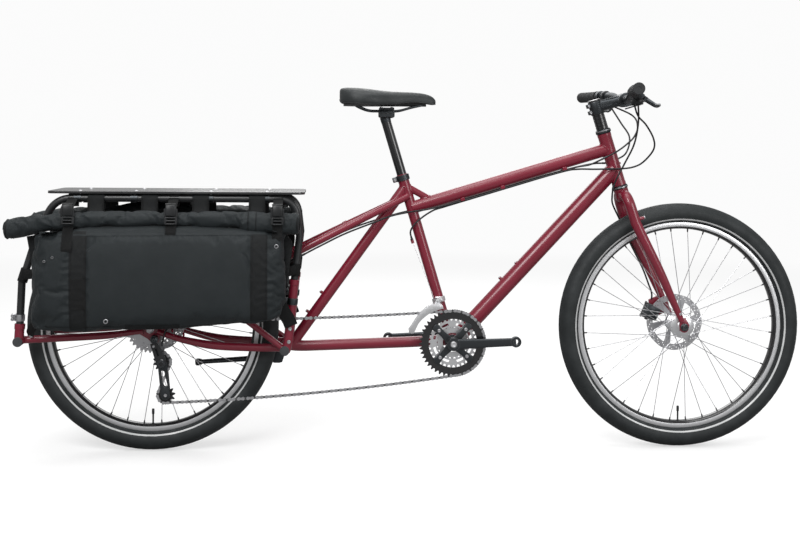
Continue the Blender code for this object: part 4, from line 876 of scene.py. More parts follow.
def caliper(name, centre, angle_deg, rotor_y, y_low, y_high, body):
    """A mechanical disc caliper: two bolted body halves, an actuating arm and its mounting bolts."""
    shape = Shape()
    turn = math.radians(angle_deg)
    radial = wheel_direction(turn)
    tangent = Vector((-radial.z, 0, radial.x))
    middle = centre + radial * 0.074
    for low, high in ((y_low, rotor_y - 0.0024), (rotor_y + 0.0024, y_high)):
        shape.box(middle + SIDE * (low + high) / 2, radial, tangent, SIDE,
                  (0.0205, 0.0185, (high - low) / 2),
                  "anodised", 0.0022)
    shape.box(centre + radial * 0.0912 + SIDE * (y_low + y_high) / 2, radial, SIDE, tangent,
              (0.0052, (y_high - y_low) / 2 - 0.001, 0.0165), "anodised", 0.0018)
    shape.lathe([(0, 0), (0.012, 0), (0.013, 0.0012), (0.013, 0.003), (0.0105, 0.0046), (0.004, 0.0046),
                 (0.0036, 0.0036), (0, 0.0036)], middle + SIDE * (y_high - 0.0012), SIDE, "anodised", 40)
    for share in (-1, 1):
        shape.bolt(centre + radial * 0.088 + tangent * 0.0145 * share + SIDE * (y_high - 0.0006), SIDE,
                   0.0042,
                   0.0036, "steel")
        shape.lathe([(0, 0), (0.0028, 0), (0.0028, 0.02), (0.0046, 0.02), (0.0046, 0.0245), (0, 0.0245)],
                    centre + radial * 0.078 + tangent * 0.019 * share + SIDE * (y_low + 0.004),
                    radial, "dark_steel", 16)
    shape.plate([[(-0.004, -0.007), (0.012, -0.006), (0.026, -0.003), (0.026, 0.004), (0.01, 0.007),
                  (-0.004, 0.007)]],
                0.0026, axes_matrix(middle + SIDE * (y_high + 0.0048), tangent, -radial), "dark_steel",
                0.0004)
    return shape.piece(name + "_assembly", body, [name], "black_alloy")


def wheels():
    tyre("front_tyre_tread", FRONT_AXLE, "front_wheel", "front_tyre")
    tyre("rear_tyre_tread", REAR_AXLE, "rear_wheel", "rear_tyre")
    rim("front_rim_tracks", FRONT_AXLE, "front_wheel", "front_rim")
    rim("rear_rim_tracks", REAR_AXLE, "rear_wheel", "rear_rim")
    front = [(0.0056, -0.0496), (0.0092, -0.0496), (0.0095, -0.04), (0.014, -0.0388), (0.015, -0.0375),
             (0.0325, -0.035), (0.0335, -0.0342), (0.0335, -0.0312), (0.0325, -0.0306), (0.02, -0.029),
             (0.0165, -0.023), (0.015, -0.008), (0.015, 0.008), (0.016, 0.018), (0.0272, 0.0234),
             (0.028, 0.024), (0.028, 0.0266), (0.0272, 0.0272), (0.0222, 0.029), (0.022, 0.0392),
             (0.0095, 0.0392),
             (0.0092, 0.0496), (0.0056, 0.0496)]
    hub("front_hub_laced", FRONT_AXLE, "front_wheel", "front_hub_and_spokes",
        ((-0.0327, 0.0335), (0.0253, 0.028)),
        front)
    rear = [(0.0056, -0.0322), (0.02, -0.0322), (0.0205, -0.031), (0.0262, -0.0296), (0.027, -0.029),
            (0.027, -0.0266), (0.0262, -0.026), (0.0195, -0.0235), (0.0175, -0.012), (0.0172, 0.02),
            (0.019, 0.029), (0.0262, 0.0336), (0.027, 0.0342), (0.027, 0.0364), (0.0262, 0.0372),
            (0.0222, 0.039),
            (0.022, 0.0527), (0.0095, 0.0527), (0.0092, 0.067), (0.0056, 0.067)]
    hub("rear_hub_laced", REAR_AXLE, "rear_wheel", "rear_hub_and_spokes",
        ((-0.0278, 0.027), (0.0352, 0.027)), rear)
    rotor("front_disc", FRONT_AXLE, "front_wheel", "front_rotor", 0.0404)
    rotor("rear_disc", REAR_AXLE, "rear_wheel", "rear_rotor", 0.0539)
    axle("front_axle_nuts", FRONT_AXLE, "steering", "front_axle", 0.0573, 0.009, "anodised")
    axle("rear_axle_nuts", REAR_AXLE, "frame", "rear_axle", 0.0748, 0.01, "steel")
    caliper("front_brake_caliper", FRONT_AXLE, 157, 0.0404, 0.0285, 0.056, "steering")
    caliper("rear_brake_caliper", REAR_AXLE, 72, 0.0539, 0.0425, 0.0665, "frame")


# ---------------------------------------------------------------- rack and deck

RAIL_Z = 0.695
RAIL_RADIUS = 0.01
DECK_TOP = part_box("deck")[1].z
CLAMP_X = tuple((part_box(f"deck_clamp_{n}")[0].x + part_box(f"deck_clamp_{n}")[1].x) / 2 for n in (1, 2, 3, 4))


def rack():
    path = [at(0.3862, 0.4794, -RACK_Y), at(0.399, 0.596, -RACK_Y), at(0.3865, RAIL_Z, -RACK_Y),
            at(-0.25, RAIL_Z, -RACK_Y), at(-0.303, 0.571, -RACK_Y), at(-0.334, 0.47, -RACK_Y),
            at(-0.338, 0.3614, -RACK_Y)]
    bends = bent_path(path[1:5], 0.048, 14)[1:-1]
    shape = Shape()
    shape.tube([path[0], path[1], *bends, path[4], path[5], path[6]], RAIL_RADIUS, "black", 32)
    shape.piece("rack_rail_right", "frame", ["rack_loop_right"], "black_paint")
    shape.mirror_copy().piece("rack_rail_left", "frame", ["rack_loop_left"], "black_paint")
    low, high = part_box("deck")
    corner, edge = 0.02, 0.0012
    outline = []
    for cx, cy, start in ((high.x - corner, high.y - corner, 0), (low.x + corner, high.y - corner, 90),
                          (low.x + corner, low.y + corner, 180), (high.x - corner, low.y + corner, 270)):
        outline += arc(cx, cy, corner, start, start + 90, 10)
    board = Shape()
    flat = axes_matrix(Vector((0, 0, (low.z + high.z) / 2)), FORWARD, SIDE)
    centre = (low.x + high.x) / 2
    inner = [(x - math.copysign(edge, x - centre), y - math.copysign(edge, y)) for x, y in outline]
    board.plate([inner], high.z - low.z, flat, "deck", edge, 3)
    board.piece("deck_panel", "frame", ["deck"], "deck_board")
    for number, x in enumerate(CLAMP_X, 1):
        bracket(number, x)


def bracket(number, x):
    """A cross bar under the deck, a saddle over each rail, and the bolts that hold the deck down."""
    shape = Shape()
    shape.box(Vector((x, 0, 0.699)), FORWARD, UP, SIDE, (0.01, 0.005, 0.084), "anodised", 0.0014)
    for side in (-1, 1):
        band = lathe_rings([(0.0103, -0.01), (0.0118, -0.0092), (0.0118, 0.0092), (0.0103, 0.01)],
                           Vector((x, side * RACK_Y, RAIL_Z)), FORWARD, 40)
        kept = [ring for ring in band if (ring[0] - Vector((x, side * RACK_Y, RAIL_Z))).z < 0.009]
        turn = next((i for i, (a, b) in enumerate(zip(kept, kept[1:])) if (a[1] - b[1]).length > 0.004),
                    None)
        kept = kept[turn + 1:] + kept[:turn + 1] if turn is not None else kept
        shape.skin(kept, "anodised")
        place = Vector((x, side * 0.072, 0))
        shape.lathe([(0, DECK_TOP + 0.0018), (0.0022, DECK_TOP + 0.0018), (0.0056, DECK_TOP + 0.0004),
                     (0.006, DECK_TOP - 0.0002), (0, DECK_TOP - 0.0002)], place, UP, "steel", 24)
        shape.tube([place + UP * 0.686, place + UP * (DECK_TOP - 0.0005)], 0.0024, "steel", 14)
        shape.lathe([(0, 0.689), (0.0052, 0.689), (0.0056, 0.69), (0.0056, 0.6938), (0, 0.6938)], place, UP,
                    "steel", 6)
    shape.piece(f"deck_bracket_{number}", "frame", [f"deck_clamp_{number}"], "black_alloy")


# ---------------------------------------------------------------- drivetrain

PITCH = 0.0127
RING_TEETH = {"outer": 44, "middle": 32, "inner": 22}
RING_Y = {"outer": -0.0565, "middle": -0.05, "inner": -0.0435}
COG_TEETH = (11, 13, 15, 18, 21, 24, 28, 34)
COG_Y = -0.0625
COG_SPACING = 0.0038
UPPER_PULLEY = Vector(JOINTS["pulley_upper_spin"]["pos_m"])
LOWER_PULLEY = Vector(JOINTS["pulley_lower_spin"]["pos_m"])
CRANK_RISE = math.radians(2.7)
ROLLER = 0.0039


def pitch_radius(teeth):
    return PITCH / 2 / math.sin(math.pi / teeth)


def toothed(teeth, phase_deg=0.0, tip=0.004):
    """A sprocket's outline, with a valley for a chain roller at the phase angle and every pitch after it."""
    outline = []
    base = pitch_radius(teeth)
    step = 2 * math.pi / teeth
    for k in range(teeth):
        turn = math.radians(phase_deg) + k * step
        for share, radius in ((-0.3, base + 0.0002), (-0.17, base - 0.0034), (0.0, base - 0.0041),
                              (0.17, base - 0.0034), (0.3, base + 0.0002), (0.43, base + tip - 0.0006),
                              (0.5, base + tip), (0.57, base + tip - 0.0006)):
            angle = turn + share * step
            outline.append((radius * math.cos(angle), radius * math.sin(angle)))
    return outline


def belt(wheels):
    """Arcs round wheels in turn, as (centre, radius, sign, start heading, sweep) in the side view."""
    headings = []
    for (c0, r0, s0), (c1, r1, s1) in zip(wheels, wheels[1:] + wheels[:1]):
        gap = c1 - c0
        headings.append(math.atan2(gap.z, gap.x) - math.asin((s1 * r1 - s0 * r0) / math.hypot(gap.x,
                                                                                              gap.z)))
    return [(c, r, s, headings[k - 1], (headings[k] - headings[k - 1]) * s % (2 * math.pi))
            for k, (c, r, s) in enumerate(wheels)]


def belt_point(arc_, reach, y):
    """The place on a belt's arc after turning through reach radians."""
    centre, radius, sign, start, _ = arc_
    heading = start + sign * reach
    return Vector((centre.x + sign * radius * math.sin(heading), y,
                   centre.z - sign * radius * math.cos(heading)))


def sprocket_phase(arc_):
    """The angle of the first chain roller on an arc, in degrees about its wheel."""
    place = belt_point(arc_, 0.0, 0.0) - Vector((arc_[0].x, 0, arc_[0].z))
    return math.degrees(math.atan2(place.z, place.x))


BELT = belt([(BB, pitch_radius(44), 1), (REAR_AXLE, pitch_radius(11), 1),
             (UPPER_PULLEY, pitch_radius(11), -1),
             (LOWER_PULLEY, pitch_radius(11), 1)])
BELT_TEETH = (44, 11, 11, 11)
BELT_Y = (RING_Y["outer"], COG_Y, COG_Y, COG_Y)
SLACK = (0.008, 0.0, 0.0, 0.011)


def chain_rollers():
    """Roller places all round the chain: one list for each wheel's wrap and for the free run after it."""
    wraps, runs = [], []
    for arc_, teeth, y in zip(BELT, BELT_TEETH, BELT_Y):
        step = 2 * math.pi / teeth
        wraps.append([belt_point(arc_, k * step, y) for k in range(int(arc_[4] / step) + 1)])
    for k, wrap in enumerate(wraps):
        start, end = wrap[-1], wraps[(k + 1) % 4][0]
        count = max(1, round((end - start).length / PITCH))
        runs.append([start.lerp(end, j / count) - UP * SLACK[k] * 4 * (j / count) * (1 - j / count)
                     for j in range(count + 1)])
    return wraps, runs


def chain_link(shape, a, b, wide):
    """One link from roller to roller: its two waisted side plates, its rollers and its pins."""
    along = (b - a).normalized()
    up = SIDE.cross(along).normalized() * -1
    length = (b - a).length
    half = 0.0041 if wide else 0.0039
    outline = [(x, y) for x, y in arc(0, 0, half, 90, 270, 6)]
    outline += [(length * 0.5, -half * 0.6)]
    outline += arc(length, 0, half, -90, 90, 6)
    outline += [(length * 0.5, half * 0.6)]
    inner, outer = (0.0022, 0.0031) if wide else (0.0012, 0.0021)
    look = "steel" if wide else "dark_steel"
    for side in (-1, 1):
        rings = [[a + along * x + up * y + SIDE * side * depth for x, y in outline]
                 for depth in (inner, outer)]
        shape.skin(rings, look)
    if not wide:
        for place in (a, b):
            shape.skin(tube_rings([place - SIDE * 0.0013, place + SIDE * 0.0013], ROLLER - 0.0003, 12),
                       "steel")
            shape.skin(tube_rings([place - SIDE * 0.0036, place + SIDE * 0.0036], 0.0018, 8), "steel")


def chain():
    wraps, runs = chain_rollers()
    parity = 0
    parts = []
    for wrap, run in zip(wraps, runs):
        parts += [wrap, run]
    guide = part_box("front_derailleur_cage")
    upper_run = runs[0]
    split = [k for k, p in enumerate(upper_run) if p.x < guide[0].x + 0.006][0]
    middle = split + 14
    names = {0: "chain_on_ring", 1: None, 2: "chain_on_cog", 3: "chain_to_pulley",
             4: "chain_on_upper_pulley",
             5: "chain_between_pulleys", 6: "chain_on_lower_pulley", 7: None}
    pieces = {}

    def piece_at(part, k):
        if part == 1:
            return ("chain_ring_to_guide" if k < split else "chain_guide_to_run" if k < middle
                    else "chain_top_run")
        if part == 7:
            return "chain_lower_run_rear" if k < len(runs[3]) // 5 else "chain_lower_run_front"
        return names[part]

    for part, points in enumerate(parts):
        for k, (a, b) in enumerate(zip(points, points[1:])):
            shape = pieces.setdefault(piece_at(part, k), Shape())
            chain_link(shape, a, b, parity % 2 == 0)
            parity += 1
    mounts = {"chain_on_ring": "frame", "chain_top_run": "frame", "chain_on_cog": "frame",
              "chain_between_pulleys": "rear_derailleur_cage",
              "chain_on_lower_pulley": "rear_derailleur_cage"}
    bends = {
        "chain_ring_to_guide": ("frame", "front_derailleur_cage", upper_run[0], upper_run[split]),
        "chain_guide_to_run": ("front_derailleur_cage", "frame", upper_run[split], upper_run[middle]),
        "chain_to_pulley": ("frame", "rear_derailleur_link", runs[1][0], runs[1][-1]),
        "chain_on_upper_pulley": ("rear_derailleur_link", "rear_derailleur_cage", wraps[2][0],
                                  wraps[2][-1]),
        "chain_lower_run_rear": ("rear_derailleur_cage", "rear_derailleur_link", runs[3][0],
                                 runs[3][len(runs[3]) // 5]),
        "chain_lower_run_front": ("rear_derailleur_link", "frame", runs[3][len(runs[3]) // 5], runs[3][-1]),
    }
    for name, shape in pieces.items():
        link = shape.piece(name, mounts.get(name), slot="steel")
        if name in bends:
            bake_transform(link)
        if name == "chain_top_run":
            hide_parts("chain")


def chainrings():
    shape = Shape()
    teeth_outline = toothed(RING_TEETH["outer"], sprocket_phase(BELT[0]))
    ring_inner = arc(0, 0, 0.069, 0, 352, 44)
    shape.plate([teeth_outline, ring_inner], 0.0022, side_matrix(RING_Y["outer"], BB), "gloss_black",
                0.0003, 0)
    band = [(0.0665, -0.0012), (0.08, -0.0012), (0.08, 0.0004), (0.0665, 0.0012)]
    shape.lathe([(r, RING_Y["outer"] + y) for r, y in band], BB, SIDE, "gloss_black", 96)
    for k in range(4):
        turn = math.radians(45 + 90 * k) + CRANK_RISE
        along = wheel_direction(turn)
        tab = [(0.047, -0.008), (0.053, -0.0085), (0.068, -0.012), (0.068, 0.012), (0.053, 0.0085),
               (0.047, 0.008)]
        shape.plate([tab], 0.0026, axes_matrix(BB + SIDE * RING_Y["outer"], along, along.cross(SIDE) * -1),
                    "gloss_black", 0.0003)
    shape.piece("outer_ring", "crank", ["chainring_outer"], "black_alloy")
    for name, hole in (("middle", 0.044), ("inner", 0.0265)):
        teeth = RING_TEETH[name]
        shape = Shape()
        cutouts = []
        reach = pitch_radius(teeth) - 0.0095
        for k in range(8 if name == "middle" else 0):
            turn = 45 * k + 12
            cutouts.append(arc(0, 0, hole + 0.004, turn, turn + 24, 4) + arc(0, 0, reach, turn + 22,
                                                                             turn + 2, 4))
        shape.plate([toothed(teeth, 3.0 if name == "middle" else 0.0), arc(0, 0, hole, 0, 350, 35),
                     *cutouts], 0.0022,
                    side_matrix(RING_Y[name], BB), "alloy", 0.0003, 0)
        shape.piece(f"{name}_ring", "crank", [f"chainring_{name}"], "steel")


def cranks():
    for side, name in ((-1, "right"), (1, "left")):
        shape = Shape()
        along = wheel_direction(CRANK_RISE) * -side
        up = Vector((-along.z, 0, along.x))
        out = SIDE * side
        eye = BB + along * 0.17
        rings = []
        for share, half, depth, y in ((0.02, 0.0148, 0.0068, 0.0752), (0.1, 0.014, 0.0068, 0.0762),
                                      (0.25, 0.013, 0.0066, 0.0784), (0.5, 0.0118, 0.0061, 0.0818),
                                      (0.75, 0.0112, 0.0059, 0.0842), (0.93, 0.011, 0.0058, 0.0853),
                                      (1.0, 0.0108, 0.0058, 0.0855)):
            middle = BB.lerp(eye, share) + out * y
            rings.append([middle + up * half * c + out * depth * s for c, s in superellipse(32, 0.42)])
        shape.skin(rings, "anodised")
        boss = [(0, 0.06), (0.016, 0.06), (0.0178, 0.062), (0.0178, 0.0815), (0.0168, 0.0832),
                (0.0105, 0.0835),
                (0.0098, 0.0815), (0, 0.0812)]
        shape.lathe(boss, BB, out, "anodised", 48)
        shape.bolt(BB + out * 0.0795, out, 0.0088, 0.0046, "alloy")
        end = [(0.0074, 0.079), (0.0132, 0.079), (0.0146, 0.0803), (0.0146, 0.0908), (0.0134, 0.0919),
               (0.008, 0.0919), (0.0074, 0.0912)]
        shape.lathe(end, eye, out, "anodised", 48)
        if side < 0:
            spider(shape)
        shape.piece(f"crank_arm_{name}", "crank", [f"crank_{name}"], "black_alloy")
    spindle = Shape()
    spindle.lathe([(0, -0.073), (0.0083, -0.073), (0.0083, 0.073), (0, 0.073)], BB, SIDE, "steel", 24)
    spindle.piece("crank_axle", "crank", ["crank_spindle"], "steel")
    cups = Shape()
    for side in (-1, 1):
        low = 0.0343
        profile = [(0.0094, low), (0.019, low), (0.0197, low + 0.0006), (0.0197, low + 0.0032),
                   (0.0188, low + 0.004),
                   (0.011, low + 0.004), (0.0094, low + 0.003)]
        cups.lathe([(r, side * y) for r, y in profile], BB, SIDE, "anodised", 40)
        for k in range(16):
            turn = 2 * math.pi * k / 16
            place = BB + wheel_direction(turn) * 0.0166 + SIDE * side * (low + 0.0034)
            cups.lathe([(0, 0), (0.0014, 0), (0.0014, 0.0008), (0, 0.0008)], place, SIDE * side,
                       "dark_steel", 8)
    cups.lathe([(0.015, -0.034), (0.0165, -0.034), (0.0165, 0.034), (0.015, 0.034)], BB, SIDE, "plastic",
               32)
    cups.piece("bottom_bracket_cups", "frame", ["bottom_bracket"], "black_alloy")


def spider(shape):
    """Four arms from the boss out to the ring bolts."""
    for k in range(4):
        turn = math.radians(45 + 90 * k) + CRANK_RISE
        along = wheel_direction(turn)
        across = along.cross(SIDE)
        outline = [(0.006, -0.012), (0.02, -0.0092), (0.04, -0.007), (0.056, -0.0078), (0.066, -0.0098),
                   (0.07, -0.006), (0.07, 0.006), (0.066, 0.0098), (0.056, 0.0078), (0.04, 0.007),
                   (0.02, 0.0092), (0.006, 0.012)]
        shape.plate([outline], 0.0056, axes_matrix(BB - SIDE * 0.0612, along, across), "anodised", 0.0009,
                    2)
        place = BB + along * 0.052 - SIDE * 0.0636
        shape.bolt(place, -SIDE, 0.0048, 0.0022, "steel")
        shape.bolt(BB + along * 0.052 - SIDE * 0.0405, SIDE, 0.0044, 0.0018, "alloy")
        shape.tube([BB + along * 0.052 - SIDE * 0.0625, BB + along * 0.052 - SIDE * 0.041], 0.004, "alloy",
                   20)


def cassette():
    shape = Shape()
    shape.lathe([(0.0062, -0.0668), (0.0125, -0.0668), (0.013, -0.066), (0.013, -0.0645), (0.0175, -0.0642),
                 (0.0175, -0.0335), (0.0062, -0.0335)], REAR_AXLE, SIDE, "dark_steel", 40)
    for number, teeth in enumerate(COG_TEETH):
        y = COG_Y + COG_SPACING * number
        holes = [arc(0, 0, 0.014, 0, 345, 23)]
        if teeth >= 21:
            reach = pitch_radius(teeth) - 0.008
            for k in range(6):
                base = 60 * k + 9 * number
                holes.append(arc(0, 0, reach - 0.0065 - 0.001 * (teeth - 21), base, base + 34, 5)
                             + arc(0, 0, reach, base + 34, base, 6))
        phase = sprocket_phase(BELT[1]) if number == 0 else 4.0 * number
        tip = 0.004 if number == 0 else 0.003
        shape.plate([toothed(teeth, phase, tip), *holes], 0.0017, side_matrix(y, REAR_AXLE), "steel",
                    0.0002, 0)
    shape.piece("cogs", "cassette", ["cassette"], "steel")


def front_derailleur():
    clamp = Shape()
    centre = BB + SEAT_UP * 0.118
    forward = Vector((SEAT_UP.z, 0, -SEAT_UP.x))
    clamp.lathe([(0.0152, -0.007), (0.0176, -0.007), (0.0184, -0.006), (0.0184, 0.006), (0.0176, 0.007),
                 (0.0152, 0.007)], centre, SEAT_UP, "alloy", 40)
    clamp.box(centre + SIDE * 0.02, SIDE, SEAT_UP, forward, (0.0045, 0.0066, 0.006), "alloy", 0.0012)
    clamp.bolt(centre + SIDE * 0.02 - forward * 0.0055, -forward, 0.004, 0.004, "steel")
    clamp.box(centre + Vector((-0.0015, -0.0195, 0.0025)), FORWARD, UP, SIDE, (0.0105, 0.0078, 0.005),
              "alloy", 0.002)
    for x, z in ((-0.0085, 0.006), (-0.006, -0.002)):
        clamp.bolt(centre + Vector((x, -0.024, z)), -SIDE, 0.0024, 0.0008, "dark_steel")
    clamp.piece("front_derailleur_band", "frame", ["front_derailleur_clamp"], "steel")
    cage = Shape()
    plate = [(0.7924, 0.396), (0.79, 0.404), (0.7845, 0.4082), (0.764, 0.4082), (0.752, 0.403),
             (0.74, 0.394),
             (0.727, 0.381), (0.715, 0.364), (0.705, 0.348), (0.6978, 0.338), (0.704, 0.3278),
             (0.712, 0.329),
             (0.718, 0.342), (0.725, 0.356), (0.734, 0.366), (0.743, 0.374), (0.754, 0.382), (0.766, 0.388),
             (0.78, 0.393)]
    y = RING_Y["outer"]
    for level, thick in ((y - 0.0072, 0.0015), (y + 0.0063, 0.0015)):
        cage.plate([plate], thick, side_matrix(level), "alloy", 0.0003)
    cage.box(at(0.702, 0.3335, y - 0.0004), FORWARD, UP, SIDE, (0.003, 0.0042, 0.0064), "alloy", 0.0006)
    cage.box(at(0.774, 0.4068, y - 0.0004), FORWARD, UP, SIDE, (0.01, 0.0014, 0.0064), "alloy", 0.0006)
    link = [(0.77, 0.407), (0.783, 0.4085), (0.7905, 0.419), (0.785, 0.423), (0.776, 0.418)]
    cage.plate([link], 0.004, side_matrix(y + 0.01), "alloy", 0.0008)
    cage.bolt(at(0.7762, 0.412, y + 0.0092), -SIDE, 0.0026, 0.0012, "dark_steel")
    cage.piece("front_derailleur_guide", "front_derailleur_cage", ["front_derailleur_cage"], "steel")


def capsule_outline(low, high, low_radius, high_radius, steps=12):
    slope = math.degrees(math.atan2(high[1] - low[1], high[0] - low[0]))
    return (arc(high[0], high[1], high_radius, slope - 90, slope + 90, steps)
            + arc(low[0], low[1], low_radius, slope + 90, slope + 270, steps))


def rear_derailleur():
    body = Shape()
    place = at(0.013, 0.316)
    body.lathe([(0, 0.075), (0.0098, 0.075), (0.0107, 0.0762), (0.0107, 0.09), (0.0098, 0.0925),
                (0.006, 0.0935),
                (0.0048, 0.095), (0.0034, 0.095), (0.0032, 0.0925), (0, 0.0925)], place, -SIDE, "anodised",
               40)
    body.piece("rear_derailleur_knuckle", "frame", ["rear_derailleur_body"], "black_alloy")
    link = Shape()
    upper = (UPPER_PULLEY.x - REAR_AXLE.x, UPPER_PULLEY.z)
    lower = (LOWER_PULLEY.x - REAR_AXLE.x, LOWER_PULLEY.z)
    outer_plate = [(0.0045, 0.3035), (0.011, 0.3046), (0.0215, 0.304), (0.033, 0.286), (0.0425, 0.265),
                   (0.04, 0.249), (0.024, 0.2445), (0.019, 0.256), (0.012, 0.28)]
    link.plate([outer_plate, [(0.015, 0.292), (0.023, 0.27), (0.029, 0.274), (0.021, 0.294)]], 0.0044,
               side_matrix(-0.0914), "plastic", 0.001, 2)
    link.plate([outer_plate], 0.004, side_matrix(-0.0815), "anodised", 0.0008)
    link.lathe([(0, 0.0712), (0.012, 0.0712), (0.0125, 0.072), (0.0125, 0.0925), (0.0105, 0.095),
                (0.0062, 0.0953),
                (0.0055, 0.0935), (0, 0.0932)], Vector((UPPER_PULLEY.x, 0, UPPER_PULLEY.z)), -SIDE,
               "anodised", 40)
    for x, z in ((0.0125, 0.299), (0.035, 0.262)):
        link.bolt(at(x, z, -0.0934), -SIDE, 0.0034, 0.0016, "steel")
        link.tube([at(x, z, -0.093), at(x, z, -0.08)], 0.0026, "dark_steel", 14)
    link.piece("rear_derailleur_arms", "rear_derailleur_link", ["rear_derailleur_link"], "black_alloy")
    cage = Shape()
    window = capsule_outline((lower[0] - 0.001, lower[1] + 0.028), (upper[0] + 0.001, upper[1] - 0.028),
                             0.006, 0.006, 8)
    for y in (COG_Y - 0.0075, COG_Y + 0.0075):
        cage.plate([capsule_outline(lower, upper, 0.0118, 0.0123), window], 0.0017, side_matrix(y),
                   "anodised", 0.0003)
        for centre in (UPPER_PULLEY, LOWER_PULLEY):
            out = SIDE if y > COG_Y else -SIDE
            cage.bolt(Vector((centre.x, y, centre.z)) + out * 0.0006, out, 0.0042, 0.0022, "steel")
    for centre in (UPPER_PULLEY, LOWER_PULLEY):
        cage.tube([centre - SIDE * 0.0075, centre + SIDE * 0.0075], 0.0028, "steel", 16)
    cage.piece("rear_derailleur_plates", "rear_derailleur_cage", ["rear_derailleur_cage"], "black_alloy")
    for name, centre, arc_ in (("upper", UPPER_PULLEY, BELT[2]), ("lower", LOWER_PULLEY, BELT[3])):
        wheel = Shape()
        holes = [arc(0.0105 * math.cos(math.radians(72 * k)), 0.0105 * math.sin(math.radians(72 * k)),
                     0.0022, 0, 330, 11)
                 for k in range(5)]
        wheel.plate([toothed(11, sprocket_phase(arc_), 0.0034), arc(0, 0, 0.0034, 0, 342, 19), *holes],
                    0.0022,
                    side_matrix(centre.y, centre), "plastic", 0.0003)
        wheel.lathe([(0.0034, -0.003), (0.0066, -0.003), (0.0066, 0.003), (0.0034, 0.003)], centre, SIDE,
                    "plastic", 24)
        wheel.piece(f"pulley_wheel_{name}", f"pulley_{name}", [f"derailleur_pulley_{name}"], "plastic")


def kickstand():
    bracket_shape = Shape()
    outline = [(0.3225, 0.229), (0.329, 0.2272), (0.342, 0.2272), (0.3485, 0.229), (0.3555, 0.25),
               (0.3715, 0.2745),
               (0.3305, 0.2745), (0.3205, 0.25)]
    bracket_shape.plate([outline], 0.017, side_matrix(0.0668), "anodised", 0.0018, 2)
    bracket_shape.bolt(at(0.348, 0.264, 0.0752), SIDE, 0.005, 0.0022, "steel")
    bracket_shape.piece("kickstand_mount", "frame", ["kickstand_bracket"], "black_alloy")
    pivot = at(0.335, 0.24)
    leg = Shape()
    leg.lathe([(0, 0.076), (0.0118, 0.076), (0.0125, 0.077), (0.0125, 0.0912), (0.0112, 0.0926),
               (0.0048, 0.0928),
               (0.0042, 0.0905), (0, 0.0905)], pivot, SIDE, "anodised", 40)
    path = smooth_path([at(0.333, 0.24, 0.0848), at(0.3, 0.237, 0.0848), at(0.24, 0.232, 0.088),
                        at(0.116, 0.2235, 0.091)], 8)
    leg.tube(path, taper((0, 0.0084), (0.3, 0.0078), (1, 0.0064)), "anodised", 28)
    leg.tube([at(0.123, 0.224, 0.091), at(0.121, 0.2238, 0.091), at(0.113, 0.2231, 0.091),
              at(0.106, 0.2226, 0.091),
              at(0.104, 0.2224, 0.091)], [0.007, 0.0084, 0.0103, 0.0096, 0.007], "rubber", 28)
    leg.piece("kickstand_arm", "kickstand", ["kickstand_leg"], "black_alloy")


fork()
wheels()
rack()
chainrings()
cranks()
cassette()
chain()
front_derailleur()
rear_derailleur()
kickstand()


# ---------------------------------------------------------------- seat


def saddle():
    """The padded cover over its base, with a piped edge: slices of (x, half width, skirt, top)."""
    slices = (
        (0.5045, 0.014, 0.976, 0.989), (0.5055, 0.03, 0.966, 0.9955), (0.509, 0.046, 0.9595, 0.999),
        (0.52, 0.063, 0.9555, 1.0006), (0.54, 0.0765, 0.9545, 1.0008), (0.562, 0.08, 0.954, 0.9997),
        (0.585, 0.078, 0.953, 0.9975), (0.61, 0.069, 0.9525, 0.9945), (0.635, 0.056, 0.953, 0.992),
        (0.66, 0.044, 0.955, 0.9905), (0.685, 0.035, 0.958, 0.99), (0.71, 0.029, 0.96, 0.9893),
        (0.732, 0.0245, 0.959, 0.9875), (0.75, 0.0212, 0.9568, 0.9838), (0.763, 0.0175, 0.955, 0.978),
        (0.77, 0.0125, 0.9555, 0.9705), (0.7722, 0.006, 0.959, 0.9655),
    )
    shape = Shape()
    rings, edge = [], []
    for x, half, low, top in slices:
        deep = top - low
        right = [(0, top), (0.3, top - 0.01 * deep), (0.58, top - 0.05 * deep), (0.8, top - 0.17 * deep),
                 (0.94, top - 0.36 * deep), (1.0, top - 0.6 * deep), (1.0, low + 0.16 * deep), (0.97, low),
                 (0.9, low + 0.0005), (0.84, low + 0.1 * deep), (0.5, low + 0.16 * deep),
                 (0, low + 0.18 * deep)]
        points = [(share * half, z) for share, z in right]
        points += [(-y, z) for y, z in reversed(points[1:-1])]
        rings.append([at(x, z, y) for y, z in points])
        edge.append((x, half * 0.955, low))
    shape.skin(rings, "saddle")
    cover = shape.piece("saddle_cover_padded", "seat", slot="saddle_cover")
    smooth = cover.modifiers.new("rounding", "SUBSURF")
    smooth.levels = 2
    smooth.render_levels = 2
    apply_modifiers(cover)
    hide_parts("saddle")
    trim = Shape()
    outline = [at(x, z + 0.0012, -y) for x, y, z in edge[1:-1]]
    outline += [at(x, z + 0.0012, y) for x, y, z in reversed(edge[1:-1])]
    trim.loop(smooth_path(outline + outline[:1], 4)[:-1], 0.0013, "plastic", 10)
    for side in (-1, 1):
        seam = [at(x, top - 0.006 * half / 0.08, side * half * 0.62) for x, half, low, top in slices[3:13]]
        seam = [Vector((p.x, p.y, p.z - 0.0016)) for p in seam]
        trim.tube(smooth_path(seam, 5), 0.0007, "webbing", 8)
    base = []
    for x, half in ((0.516, 0.04), (0.535, 0.062), (0.565, 0.066), (0.6, 0.056), (0.64, 0.036),
                    (0.68, 0.02),
                    (0.725, 0.014), (0.745, 0.01)):
        base.append((x, half))
    outline = [(x, -y) for x, y in base] + [(x, y) for x, y in reversed(base)]
    rings = [[at(x, z, y * share) for x, y in outline] for z, share in ((0.95, 0.86), (0.9535, 1.0),
                                                                        (0.964, 1.0))]
    trim.skin(rings, "plastic")
    trim.piece("saddle_base_and_piping", "seat", slot="plastic")


